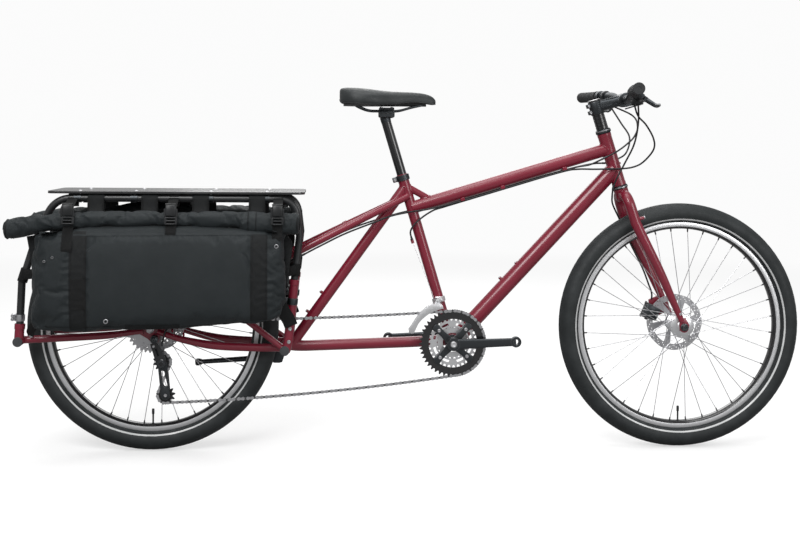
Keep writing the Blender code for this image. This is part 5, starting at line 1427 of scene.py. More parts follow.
def apply_modifiers(piece):
    """Bakes a piece's modifiers into its mesh, keeping its materials."""
    depsgraph = bpy.context.evaluated_depsgraph_get()
    mesh = bpy.data.meshes.new_from_object(piece.evaluated_get(depsgraph))
    old = piece.data
    piece.modifiers.clear()
    piece.data = mesh
    bpy.data.meshes.remove(old)
    mesh.shade_smooth()


def seatpost_and_rails():
    post = Shape()
    top = SEAT_TOP + SEAT_UP * 0.164
    post.lathe([(0, -0.15), (0.0134, -0.15), (0.0136, -0.149), (0.0136, 0.166), (0.0125, 0.1715),
                (0, 0.1735)],
               SEAT_TOP, SEAT_UP, "gloss_black", 48)
    middle = at(0.635, 0.936)
    post.tube([top - SEAT_UP * 0.012, top - SEAT_UP * 0.002, middle - UP * 0.0085], [0.014, 0.015, 0.0125],
              "anodised", 28)
    post.box(middle - UP * 0.011, FORWARD, SIDE, UP, (0.0215, 0.0275, 0.0062), "anodised", 0.0022)
    post.box(middle + UP * 0.0064, FORWARD, SIDE, UP, (0.0205, 0.0275, 0.0034), "anodised", 0.0016)
    for side in (-1, 1):
        post.tube([middle + SIDE * side * 0.022 - FORWARD * 0.0215 - UP * 0.0036,
                   middle + SIDE * side * 0.022 + FORWARD * 0.0215 - UP * 0.0036], 0.0052, "anodised", 20)
    for ahead in (-1, 1):
        place = middle + FORWARD * 0.015 * ahead
        post.tube([place - UP * 0.0175, place + UP * 0.0098], 0.0024, "steel", 14)
        post.bolt(place + UP * 0.0092, UP, 0.0044, 0.003, "steel")
        post.lathe([(0, -0.0188), (0.0046, -0.0188), (0.0046, -0.0165), (0, -0.0165)], place, UP, "steel",
                   6)
    post.piece("seatpost_tube_and_head", "seat", ["seatpost"], "black_alloy")
    right = [at(0.545, 0.956, -0.038), at(0.557, 0.9475, -0.036), at(0.585, 0.9362, -0.022),
             at(0.668, 0.9362, -0.022), at(0.706, 0.9475, -0.017), at(0.738, 0.9545, -0.009)]
    path = bent_path(right + [mirror_point(p) for p in reversed(right)], 0.014, 6)
    rails = Shape()
    rails.tube(path, 0.0035, "anodised", 16)
    rails.piece("saddle_rail_wire", "seat", ["saddle_rails"], "black_alloy")


# ---------------------------------------------------------------- handlebar and controls

BAR_CLAMP = at(1.305, 0.974)
BAR_RADIUS = 0.0111
BAR_HALF = 0.3365


def bar_place(side, reach):
    """A point on the bar's straight outer part at this distance from the middle plane."""
    start, end = at(1.3, 0.99, side * 0.105), at(1.258, 0.992, side * BAR_HALF)
    return start.lerp(end, (reach - 0.105) / (BAR_HALF - 0.105))


def bar_axis(side):
    return (bar_place(side, 0.3) - bar_place(side, 0.2)).normalized()


def stem():
    shape = Shape()
    low, high = 0.21, 0.252
    shape.lathe([(0.0147, low), (0.0186, low), (0.0193, low + 0.0012), (0.0193, high - 0.0075),
                 (0.0188, high - 0.0062),
                 (0.0147, high - 0.0062)], HEAD_BOTTOM, STEER_UP, "anodised", 48)
    shape.lathe([(0, high - 0.006), (0.0182, high - 0.006), (0.0184, high - 0.003), (0.0165, high - 0.0006),
                 (0.0056, high), (0.005, high - 0.0016), (0, high - 0.0016)], HEAD_BOTTOM, STEER_UP,
                "gloss_black", 48)
    shape.bolt(steer_point(high - 0.0018), STEER_UP, 0.0042, 0.0022, "steel")
    root = steer_point((low + high) / 2)
    along = (BAR_CLAMP - root).normalized()
    up = SIDE.cross(along).normalized() * -1
    reach = (BAR_CLAMP - root).length
    rings = []
    for share, wide, tall in ((0.05, 0.0168, 0.016), (0.3, 0.015, 0.014), (0.6, 0.0146, 0.0134),
                              (0.95, 0.0165, 0.015)):
        rings.append([root + along * reach * share + SIDE * wide * c + up * tall * s
                      for c, s in superellipse(36, 0.7)])
    shape.skin(rings, "anodised")
    for tilt in (-0.0075, 0.0, 0.0075):
        shape.tube([root + along * 0.012 + up * 0.0138 + SIDE * tilt,
                    root + along * (reach - 0.014) + up * 0.0142
                    + SIDE * tilt], 0.0016, "anodised", 10)
    shape.lathe([(0.013, -0.0215), (0.0188, -0.0215), (0.0198, -0.0205), (0.0198, 0.0205), (0.0188, 0.0215),
                 (0.013, 0.0215)], BAR_CLAMP, SIDE, "anodised", 48)
    for lateral in (-0.014, 0.014):
        for rise in (-1, 1):
            place = BAR_CLAMP + SIDE * lateral + up * 0.015 * rise + along * 0.012
            shape.tube([place - along * 0.013, place + along * 0.005], 0.0046, "anodised", 20)
            shape.bolt(place + along * 0.005, along, 0.0034, 0.0018, "steel")
    for share in (0.25, 0.78):
        place = steer_point(low + (high - 0.006 - low) * share, -0.0205)
        shape.box(place + STEER_FORWARD * 0.001, STEER_FORWARD, STEER_UP, SIDE, (0.005, 0.0058, 0.0115),
                  "anodised", 0.0012)
        shape.bolt(place - SIDE * 0.0112, -SIDE, 0.0036, 0.0026, "steel")
    shape.piece("stem_body", "steering", ["stem"], "black_alloy")


def handlebar():
    path = []
    for side in (-1, 1):
        corner_low = at(1.305, 0.974, side * 0.06)
        corner_high = at(1.3, 0.99, side * 0.105)
        half = bent_path([at(1.305, 0.974, side * 0.028), corner_low, corner_high,
                          bar_place(side, BAR_HALF)], 0.022, 10)
        path = [*reversed(half), *path] if side < 0 else path + half
    radii = [0.0127 if abs(p.y) < 0.045 else BAR_RADIUS for p in path]
    shape = Shape()
    shape.tube(path, radii, "anodised", 36)
    shape.piece("handlebar_tube", "steering", ["handlebar"], "black_alloy")
    for side, name in ((-1, "right"), (1, "left")):
        axis = bar_axis(side)
        start = bar_place(side, 0.215)
        length = (0.34 - 0.215) / abs(axis.y)
        profile = [(0.0113, 0.0), (0.016, 0.0), (0.0168, 0.0008), (0.0168, 0.0038), (0.0156, 0.0052)]
        ribs = 26
        reach = length - 0.016
        for k in range(ribs):
            s = 0.006 + reach * k / ribs
            profile += [(0.0156, s), (0.0156, s + reach / ribs * 0.62), (0.0148, s + reach / ribs * 0.72),
                        (0.0148, s + reach / ribs * 0.9)]
        profile += [(0.0157, length - 0.0095), (0.0158, length - 0.0018), (0.0146, length - 0.0003),
                    (0.006, length),
                    (0.0052, length - 0.0009), (0, length - 0.0009), (0, length - 0.0045),
                    (0.0113, length - 0.0045)]
        grip = Shape()
        grip.lathe(profile, start, axis, "grip", 48)
        grip.piece(f"grip_{name}_ribbed", "steering", [f"grip_{name}"], "grip_rubber")


def brake_directions(side):
    """Outboard along the bar, forward and down to the lever's blade, and the lever's pivot axis."""
    outboard = bar_axis(side)
    reach = Vector((0.8, 0, -0.6))
    reach = (reach - outboard * reach.dot(outboard)).normalized()
    return outboard, reach, outboard.cross(reach)


def brakes():
    for side, name in ((-1, "right"), (1, "left")):
        out, reach, normal = brake_directions(side)
        base = bar_place(side, 0.195)
        shape = Shape()
        shape.lathe([(0.0113, -0.007), (0.0158, -0.007), (0.0168, -0.006), (0.0168, 0.006), (0.0158, 0.007),
                     (0.0113, 0.007)], base, out, "anodised", 40)
        outline = [(0.013, -0.01), (0.019, -0.01), (0.025, -0.0062), (0.0256, 0.0), (0.0256, 0.02),
                   (0.024, 0.0206), (0.0165, 0.0204), (0.014, 0.015), (0.0125, 0.007)]
        shape.plate([outline], 0.0155, axes_matrix(base, reach, out), "anodised", 0.002, 3)
        shape.lathe([(0.0022, 0.0), (0.0048, 0.0), (0.0052, 0.0012), (0.0052, 0.0088), (0.004, 0.01),
                     (0.004, 0.0125), (0.0022, 0.0125)], base + reach * 0.0205 - out * 0.008, -out,
                    "anodised", 20)
        shape.bolt(base + reach * 0.015 + normal * 0.0078 - out * 0.002, normal, 0.0036, 0.0018, "steel")
        shape.piece(f"brake_body_{name}", "steering", [f"brake_clamp_{name}"], "black_alloy")
        pivot = Vector(JOINTS[f"brake_lever_{name}_pull"]["pos_m"])
        path = [pivot, base + reach * 0.056 + out * 0.026, base + reach * 0.066 + out * 0.048,
                base + reach * 0.066 + out * 0.085, base + reach * 0.0698 + out * 0.1105]
        blade = Shape()
        blade.tube(bent_path(path, 0.012, 8), taper((0, 0.0068), (0.25, 0.0062), (0.75, 0.0058),
                                                    (0.94, 0.0064), (0.985, 0.0058), (1, 0.003)),
                   "anodised", 24, flat=0.6, guide=normal)
        for share in (0.45, 0.52, 0.59):
            place = path[2].lerp(path[3], (share - 0.3) / 0.5)
            blade.tube([place - normal * 0.0048 + reach * 0.003, place + normal * 0.0048 + reach * 0.003],
                       0.0011, "anodised", 8)
        blade.lathe([(0, -0.0062), (0.007, -0.0062), (0.0077, -0.0055), (0.0077, 0.0055), (0.007, 0.0062),
                     (0, 0.0062)], pivot, normal, "anodised", 32)
        blade.bolt(pivot + normal * 0.006, normal, 0.004, 0.0012, "steel")
        blade.bolt(pivot - normal * 0.006, -normal, 0.004, 0.0012, "steel")
        blade.piece(f"brake_blade_{name}", f"brake_lever_{name}", [f"brake_lever_{name}"], "black_alloy")


def shifters():
    for side, name in ((-1, "right"), (1, "left")):
        out = bar_axis(side)
        base = bar_place(side, 0.158)
        down = Vector((0.3, 0, -0.954))
        down = (down - out * down.dot(out)).normalized()
        ahead = down.cross(out) * side
        shape = Shape()
        shape.lathe([(0.0113, -0.006), (0.015, -0.006), (0.016, -0.005), (0.016, 0.005), (0.015, 0.006),
                     (0.0113, 0.006)], base, out, "plastic", 40)
        shape.plate([[(0.013, -0.006), (0.0235, -0.012), (0.0235, 0.012), (0.013, 0.006)]], 0.0118,
                    axes_matrix(base, down, out), "plastic", 0.0012, 2)
        centre = base + ahead * 0.004
        shape.lathe([(0, 0.0187), (0.0145, 0.0187), (0.0172, 0.02), (0.0188, 0.0222), (0.019, 0.03),
                     (0.0176, 0.0335), (0.016, 0.0345), (0, 0.0345)], centre, down, "plastic", 48)
        shape.lathe([(0.015, 0.018), (0.0168, 0.018), (0.0168, 0.0196), (0.015, 0.0196)], centre, down,
                    "anodised", 48)
        shape.lathe([(0.0022, 0.0), (0.0046, 0.0), (0.005, 0.0014), (0.005, 0.0095), (0.0038, 0.0105),
                     (0.0022, 0.0105)],
                    centre + down * 0.0265 - out * 0.0185, -out, "plastic", 20)
        for k in range(10):
            turn = 2 * math.pi * k / 10
            place = centre + down * 0.0265 - out * 0.0225
            across = down.cross(out)
            shape.tube([place + (down * math.cos(turn) + across * math.sin(turn)) * 0.0048,
                        place - out * 0.0045 + (down * math.cos(turn) + across * math.sin(turn)) * 0.0048],
                       0.0006, "plastic", 6)
        shape.piece(f"shifter_pod_{name}", "steering", [f"shifter_{name}"], "plastic")
        pivot = Vector(JOINTS[f"shift_trigger_{name}_push"]["pos_m"])
        trigger = Shape()
        trigger.lathe([(0, -0.0021), (0.0118, -0.0021), (0.0125, -0.0014), (0.0125, 0.0014),
                       (0.0118, 0.002), (0, 0.002)],
                      pivot, down, "plastic", 40)
        paddle = [(0.004, -0.006), (0.02, -0.0052), (0.032, -0.0046), (0.0365, -0.001), (0.038, 0.003),
                  (0.0365, 0.0074), (0.034, 0.009), (0.02, 0.0078), (0.004, 0.006)]
        trigger.plate([paddle], 0.0036, axes_matrix(pivot, -ahead, out), "plastic", 0.0009, 2)
        for k in range(5):
            place = pivot - ahead * (0.026 + 0.0022 * k)
            trigger.tube([place - out * 0.003 + down * 0.0016, place + out * 0.0058 + down * 0.0016],
                         0.0006, "grip", 6)
        trigger.bolt(pivot + down * 0.0018, down, 0.004, 0.0014, "steel")
        trigger.piece(f"trigger_{name}", f"shift_trigger_{name}", [f"shift_trigger_{name}"], "plastic")


# ---------------------------------------------------------------- cables

HOUSING = 0.00245


def housing(name, points, body=None, blend=None, ferrules=True):
    path = smooth_path(points, 10)
    shape = Shape()
    shape.tube(path, HOUSING, "cable", 14)
    if ferrules:
        for a, b in ((path[0], path[3]), (path[-1], path[-4])):
            along = (b - a).normalized()
            shape.tube([a - along * 0.0005, a + along * 0.009], 0.003, "anodised", 14)
    piece = shape.piece(name, body, slot="plastic")
    if blend:
        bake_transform(piece)
    return piece


def cables():
    right_pod = bar_place(-1, 0.158) + Vector((0.01, 0.032, -0.028))
    gear_right = [right_pod, at(1.3164, 0.928, -0.11), at(1.3438, 0.9026, -0.095), at(1.37, 0.865, -0.075),
                  at(1.373, 0.8348, -0.062), at(1.348, 0.8011, -0.05), at(1.3226, 0.7867, -0.04),
                  at(1.2909, 0.7815, -0.031), at(1.26, 0.7805, -0.0285)]
    housing("cable_gear_rear_loop", gear_right, blend=("frame", "steering", gear_right[-1], gear_right[4]))
    rear_line = [gear_right[-1], at(1.2155, 0.7795, -0.027), at(1.1683, 0.779, -0.0235),
                 at(1.1208, 0.77, -0.0215),
                 at(0.9525, 0.72, -0.0185), at(0.8408, 0.687, -0.0185), at(0.76, 0.667, -0.0205),
                 at(0.6933, 0.656, -0.023), at(0.6463, 0.6455, -0.026), at(0.602, 0.629, -0.033),
                 at(0.5223, 0.5985, -0.044), at(0.454, 0.5655, -0.056), at(0.4053, 0.5405, -0.064)]
    housing("cable_gear_rear_line", rear_line, "frame")
    tail = [rear_line[-1], at(0.25, 0.46, -0.078), at(0.1, 0.38, -0.085), at(0.06, 0.356, -0.09)]
    housing("cable_gear_rear_tail", tail, "frame")
    last = [tail[-1], at(0.044, 0.34, -0.0905), at(0.038, 0.32, -0.0905), at(0.033, 0.3, -0.0895)]
    housing("cable_gear_rear_end", last, blend=("frame", "rear_derailleur_link", last[0], last[-1]))
    left_pod = bar_place(1, 0.158) + Vector((0.01, -0.032, -0.028))
    gear_left = [left_pod, at(1.3488, 0.932, 0.07), at(1.35, 0.9, 0.02), at(1.3299, 0.8712, -0.02),
                 at(1.3071, 0.8505, -0.03), at(1.2782, 0.829, -0.029), at(1.244, 0.8108, -0.0265)]
    housing("cable_gear_front_loop", gear_left, blend=("frame", "steering", gear_left[-1], gear_left[2]))
    front_line = [gear_left[-1], at(1.205, 0.7925, -0.0245), at(1.1692, 0.785, -0.015),
                  at(1.1216, 0.7705, -0.0145),
                  at(0.953, 0.719, -0.0125), at(0.8023, 0.673, -0.0125), at(0.7632, 0.66, -0.0165),
                  at(0.723, 0.632, -0.0205), at(0.704, 0.605, -0.02), at(0.708, 0.58, -0.019)]
    housing("cable_gear_front_line", front_line, "frame")
    wire = Shape()
    start = at(0.708, 0.58, -0.019)
    wire.tube([start, at(0.769, 0.42, -0.035)], 0.0006, "steel", 8)
    wire.tube([start - SEAT_UP * 0.01 + SIDE * 0.002, start + SEAT_UP * 0.003 + SIDE * 0.002], 0.0042,
              "red", 16)
    wire.piece("front_gear_wire_and_stop", "frame", slot="steel")
    right_brake = bar_place(-1, 0.195) + Vector((0.015, 0.022, -0.015))
    front_brake = [right_brake, at(1.319, 0.9134, -0.105), at(1.32, 0.8521, -0.06), at(1.3, 0.7975, -0.036),
                   at(1.28, 0.7581, -0.033), at(1.269, 0.73, -0.03)]
    housing("cable_brake_front_upper", front_brake, blend=("frame", "steering", front_brake[-1],
                                                           front_brake[2]))
    fork_line = [front_brake[-1], at(1.268, 0.705, -0.023), at(1.279, 0.68, 0.015), at(1.305, 0.638, 0.044),
                 at(1.334, 0.58, 0.056), at(1.375, 0.5, 0.056), at(1.395, 0.45, 0.056),
                 at(1.405, 0.42, 0.056), at(1.403, 0.388, 0.062)]
    housing("cable_brake_front_lower", fork_line, blend=("frame", "steering", fork_line[0], fork_line[3]))
    left_brake = bar_place(1, 0.195) + Vector((0.015, -0.022, -0.015))
    rear_brake = [left_brake, at(1.33, 0.9134, 0.135), at(1.345, 0.87, 0.09), at(1.325, 0.825, 0.05),
                  at(1.29, 0.805, 0.033), at(1.26, 0.796, 0.0285)]
    housing("cable_brake_rear_loop", rear_brake, blend=("frame", "steering", rear_brake[-1], rear_brake[2]))
    brake_line = [rear_brake[-1], at(1.2155, 0.7925, 0.026), at(1.1208, 0.77, 0.0215),
                  at(0.9525, 0.72, 0.0185),
                  at(0.8408, 0.687, 0.0185), at(0.76, 0.667, 0.0205), at(0.6933, 0.656, 0.023),
                  at(0.602, 0.629, 0.033), at(0.5223, 0.5985, 0.044), at(0.4053, 0.5405, 0.064),
                  at(0.25, 0.46, 0.08), at(0.14, 0.43, 0.084), at(0.07, 0.445, 0.076),
                  at(0.042, 0.437, 0.07)]
    housing("cable_brake_rear_line", brake_line, "frame")
    guides = Shape()
    for x in (1.13, 0.956, 0.844):
        share = (x - 0.7085) / (1.2605 - 0.7085)
        place = at(x, 0.6685 + share * (0.8363 - 0.6685))
        for y in (-0.0155, 0.0155):
            guides.box(place + Vector((0.0045, y, -0.0165)), Vector((0.957, 0, 0.291)), SIDE,
                       Vector((-0.291, 0, 0.957)),
                       (0.006, 0.0058, 0.0048), "red", 0.0012)
    guides.tube([steer_point(0.06, 0.0188), steer_point(0.06, 0.0215)], 0.0028, "red", 12)
    guides.piece("frame_cable_guides", "frame", slot="red_paint")


saddle()
seatpost_and_rails()
stem()
handlebar()
brakes()
shifters()
cables()


# ---------------------------------------------------------------- side bags

BAG_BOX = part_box("bag_right")
BAG_INNER, BAG_OUTER = -BAG_BOX[1].y, -BAG_BOX[0].y
ROLL_Y = 0.141
# stations along the bag's body: x, lowest and highest z, tuck of the inner face, change of the bulge
BAG_STATIONS = (
    (-0.291, 0.362, 0.592, 0.008, -0.036), (-0.286, 0.356, 0.6, 0.003, -0.022),
                (-0.266, 0.352, 0.606, 0.0, -0.009),
    (-0.2, 0.348, 0.616, 0.0, -0.003), (-0.14, 0.346, 0.624, 0.0, -0.001), (0.0, 0.346, 0.628, 0.0, 0.0),
    (0.09, 0.349, 0.628, 0.0, 0.0), (0.15, 0.355, 0.627, 0.0, -0.001), (0.285, 0.368, 0.618, 0.0, -0.004),
    (0.335, 0.382, 0.614, 0.0, -0.01), (0.352, 0.392, 0.613, 0.002, -0.018),
                (0.362, 0.425, 0.611, 0.007, -0.034),
)
# stations along the roll: x, z, half height, half width
ROLL_STATIONS = (
    (-0.366, 0.6145, 0.021, 0.022), (-0.36, 0.615, 0.025, 0.026), (-0.3, 0.625, 0.025, 0.0272),
    (-0.215, 0.635, 0.0215, 0.0262), (-0.15, 0.64, 0.0205, 0.027), (0.02, 0.642, 0.0195, 0.0272),
    (0.065, 0.642, 0.018, 0.025), (0.12, 0.642, 0.0195, 0.0272), (0.2, 0.642, 0.0205, 0.0275),
    (0.24, 0.64, 0.022, 0.0278), (0.262, 0.635, 0.0265, 0.028), (0.32, 0.633, 0.0285, 0.028),
    (0.342, 0.6325, 0.0275, 0.0262), (0.385, 0.632, 0.0295, 0.0284), (0.396, 0.632, 0.028, 0.0262),
    (0.399, 0.632, 0.0235, 0.0225),
)


def between(stations, steps):
    """The stations with smooth ones added between them."""
    count = len(stations[0])
    columns = []
    for first in range(1, count, 3):
        padded = [(*(s[first:first + 3]), 0, 0)[:3] for s in stations]
        columns.append(smooth_path([Vector(p) for p in padded], steps))
    places = smooth_path([Vector((s[0], 0, 0)) for s in stations], steps)
    rows = []
    for i, place in enumerate(places):
        values = [v for column in columns for v in column[i]]
        rows.append((place.x, *values[:count - 1]))
    return rows


def bag_rings():
    rings = []
    for x, low, high, tuck, bulge in between(BAG_STATIONS, 4):
        middle, reach = (low + high) / 2, (high - low) / 2 - 0.001
        inner = BAG_INNER + 0.002 + tuck
        face = BAG_OUTER - 0.004 + bulge
        root = BAG_INNER + 0.03
        ring = []
        for k in range(25):
            turn = math.radians(-90 + 7.5 * k)
            c, s = math.cos(turn), math.sin(turn)
            ring.append((root + (face - root) * abs(c) ** 0.42,
                         middle + reach * math.copysign(abs(s) ** 0.86, s)))
        ring += [((root + inner) / 2, middle + reach), (inner, middle + reach * 0.985)]
        ring += [(inner, middle + reach * share) for share in (0.6, 0.2, -0.2, -0.6, -0.985)]
        ring.append(((root + inner) / 2, middle - reach))
        rings.append([at(x, z, -y) for y, z in ring])
    return rings


def roll_ring(x, z, tall, wide, sides):
    return [at(x, z + tall * s, -ROLL_Y - wide * c) for c, s in superellipse(sides, 0.82)]


def roll_rings():
    return [roll_ring(x, z, tall, wide, 28) for x, z, tall, wide in between(ROLL_STATIONS, 3)]


def cloth_shell(rings, look, voxel, held, pressure, reach):
    """A closed fabric shell, filled with air as cloth. held gives how firmly a point stays put."""
    shape = Shape()
    shape.skin(rings, look)
    piece = bpy.data.objects.new("cloth_shell", shape.mesh("cloth_shell"))
    bpy.context.scene.collection.objects.link(piece)
    remesh = piece.modifiers.new("voxels", "REMESH")
    remesh.mode = "VOXEL"
    remesh.voxel_size = voxel
    apply_modifiers(piece)
    homes = [v.co.copy() for v in piece.data.vertices]
    group = piece.vertex_groups.new(name="held")
    for v in piece.data.vertices:
        group.add([v.index], held(v.co), "REPLACE")
    cloth = piece.modifiers.new("cloth", "CLOTH")
    settings = cloth.settings
    settings.quality = 6
    settings.mass = 0.35
    settings.tension_stiffness = settings.compression_stiffness = 22
    settings.shear_stiffness = 6
    settings.bending_stiffness = 0.35
    settings.vertex_group_mass = "held"
    settings.shrink_min = -0.055
    settings.use_pressure = True
    settings.uniform_pressure_force = pressure
    settings.effector_weights.gravity = 0
    cloth.point_cache.frame_start = 1
    cloth.point_cache.frame_end = 20
    for step in range(1, 21):
        bpy.context.scene.frame_set(step)
    apply_modifiers(piece)
    for v, home in zip(piece.data.vertices, homes):
        moved = v.co - home
        if moved.length > reach:
            v.co = home + moved * (reach / moved.length)
    bpy.context.scene.frame_set(1)
    smooth = piece.modifiers.new("smooth", "SUBSURF")
    smooth.levels = smooth.render_levels = 1
    apply_modifiers(piece)
    piece.data.materials.clear()
    piece.data.materials.append(LOOKS[look])
    return piece


def mirror_piece(piece, name):
    mesh = piece.data.copy()
    mesh.transform(Matrix.Scale(-1, 4, SIDE))
    mesh.flip_normals()
    other = bpy.data.objects.new(name, mesh)
    bpy.context.scene.collection.objects.link(other)
    return other


def bag_hold(p):
    x, z = p.x - REAR_AXLE.x, p.z
    if -p.y < BAG_INNER + 0.01 or z > 0.606:
        return 1.0
    band = min(abs(x + 0.17), abs(x - 0.295))
    return 0.35 if band < 0.02 else 0.0


def roll_hold(p):
    x = p.x - REAR_AXLE.x
    tied = min(abs(x + 0.2), abs(x - 0.065), abs(x - 0.342))
    if x < -0.35 or x > 0.385 or -p.y < BAG_INNER + 0.006:
        return 1.0
    return 0.8 if tied < 0.018 else 0.0


def surface_y(tree, x, z):
    """The y of the bag's outer face here."""
    hit = tree.ray_cast(at(x, z, -0.3), SIDE)[0]
    return hit.y if hit else None


def patch(shape, tree, corners, look, thick=0.0014, steps=(14, 40), lift=0.0):
    """A layer of cloth on the outer face inside four corners (x, z), from low rear round by low front."""
    (x0, z0), (x1, z1), (x2, z2), (x3, z3) = corners
    rows = []
    for j in range(steps[1] + 1):
        t = j / steps[1]
        row = []
        for i in range(steps[0] + 1):
            s = i / steps[0]
            x = (x0 * (1 - s) + x1 * s) * (1 - t) + (x3 * (1 - s) + x2 * s) * t
            z = (z0 * (1 - s) + z1 * s) * (1 - t) + (z3 * (1 - s) + z2 * s) * t
            y = surface_y(tree, x, z)
            row.append(at(x, z, -BAG_OUTER + 0.012 if y is None else y))
        rows.append(row)
    rings = []
    for row in rows:
        outer = [p - SIDE * (thick * (0.35 if i in (0, steps[0]) else 1.0) + lift) for i,
                 p in enumerate(row)]
        rings.append([p + SIDE * 0.0016 for p in row] + list(reversed(outer)))
    return shape.skin(rings, look)


def stitches(shape, tree, points, look, radius=0.00045, lift=0.0016):
    path = []
    for x, z in points:
        y = surface_y(tree, x, z)
        if y is not None:
            path.append(at(x, z, y - lift))
    if len(path) > 1:
        shape.tube(path, radius, look, 6)


def strap(shape, points, across, width, look, thick=0.0014, smooth=6):
    """Flat webbing along a path, with its width in the across direction and a soft selvedge."""
    path = smooth_path(points, smooth)
    rings = []
    for i, p in enumerate(path):
        ahead = (path[min(i + 1, len(path) - 1)] - path[max(i - 1, 0)]).normalized()
        side = (across - ahead * across.dot(ahead)).normalized()
        out = ahead.cross(side)
        half, t = width / 2, thick / 2
        rings.append([p + side * a * half + out * b * t for a, b in
                      ((-1, -0.5), (-0.94, -1), (0.94, -1), (1, -0.5), (1, 0.5), (0.94, 1), (-0.94, 1),
                       (-1, 0.5))])
    return shape.skin(rings, look)


def buckle(shape, centre, along, out, width=0.034, length=0.056):
    """A side-release buckle: a frame with a centre bar, two prongs between side rails and a slotted tail."""
    across = along.cross(out)
    half = width / 2
    shape.box(centre + along * length * 0.18, across, along, out, (half - 0.0035, length * 0.26, 0.0042),
              "plastic", 0.0022)
    for side in (-1, 1):
        shape.box(centre + across * side * (half - 0.0016) + along * length * 0.05, across, along, out,
                  (0.0021, length * 0.2, 0.0036), "plastic", 0.0012)
        shape.box(centre + across * side * (half - 0.003) - along * length * 0.32, across, along, out,
                  (0.003, length * 0.17, 0.0032), "plastic", 0.0014)
    for place in (0.46, -0.17, -0.31, -0.46):
        shape.tube([centre + along * length * place - across * (half - 0.003),
                    centre + along * length * place + across * (half - 0.003)], 0.0026, "plastic", 12,
                   flat=0.8, guide=out)


def bag_right():
    body = cloth_shell(bag_rings(), "canvas", 0.0055, bag_hold, 4.0, 0.0065)
    roll = cloth_shell(roll_rings(), "canvas", 0.0045, roll_hold, 4.0, 0.0035)
    for piece, name in ((body, "bag_body"), (roll, "bag_roll")):
        other = mirror_piece(piece, f"{name}_left")
        piece.name = f"{name}_right"
        for side, item in (("right", piece), ("left", other)):
            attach(item, "frame")
            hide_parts(f"bag_{side}")
    body_tree = BVHTree.FromObject(body, bpy.context.evaluated_depsgraph_get())
    roll_tree = BVHTree.FromObject(roll, bpy.context.evaluated_depsgraph_get())
    return body_tree, roll_tree


def both_sides(shape, name, slot):
    shape.mirror_copy().piece(f"{name}_left", "frame", slot=slot)
    shape.piece(f"{name}_right", "frame", slot=slot)


def bag_panels(tree):
    shape = Shape()
    rear_low, front_low = 0.3555, 0.378
    patch(shape, tree, ((-0.1925, rear_low), (-0.1475, rear_low), (-0.149, 0.612), (-0.194, 0.612)),
          "canvas_dark")
    patch(shape, tree, ((0.274, front_low), (0.318, front_low + 0.004), (0.317, 0.606), (0.273, 0.606)),
          "canvas_dark")
    patch(shape, tree, ((-0.19, 0.41), (-0.15, 0.41), (-0.15, 0.489), (-0.19, 0.489)), "webbing", 0.0014,
          (10, 20), 0.0014)
    patch(shape, tree, ((-0.05, 0.353), (0.09, 0.355), (0.09, 0.37), (-0.05, 0.369)), "canvas_dark", 0.0016,
          (40, 8))
    patch(shape, tree, ((-0.27, 0.6), (0.34, 0.605), (0.34, 0.615), (-0.27, 0.611)), "canvas", 0.0012,
          (120, 6))
    for x0, x1, low, high in ((-0.1925, -0.1475, rear_low, 0.598), (0.274, 0.318, front_low, 0.602)):
        for x in (x0 + 0.004, x1 - 0.004):
            stitches(shape, tree, [(x, low + (high - low) * k / 50) for k in range(51)], "webbing")
    hem = [(-0.262 + 0.012 * k, 0.364 + max(0.0, 0.0135 * (k - 30) / 20)) for k in range(50)]
    stitches(shape, tree, hem, "webbing", 0.0006, 0.0006)
    both_sides(shape, "bag_webbing_bands", "fabric")
    metal_parts = Shape()
    for x, z, size in ((-0.0977, 0.38, 0.0062), (0.3402, 0.5746, 0.0058), (-0.235, 0.545, 0.0036),
                       (-0.256, 0.535, 0.0036)):
        y = surface_y(tree, x, z)
        if y is not None:
            metal_parts.lathe([(size * 0.55, -0.0012), (size, -0.0012), (size, 0.0004),
                               (size * 0.85, 0.0012),
                               (size * 0.65, 0.0012), (size * 0.55, 0.0004)], at(x, z, y - 0.0012), -SIDE,
                              "steel", 28)
    both_sides(metal_parts, "bag_eyelets", "steel")


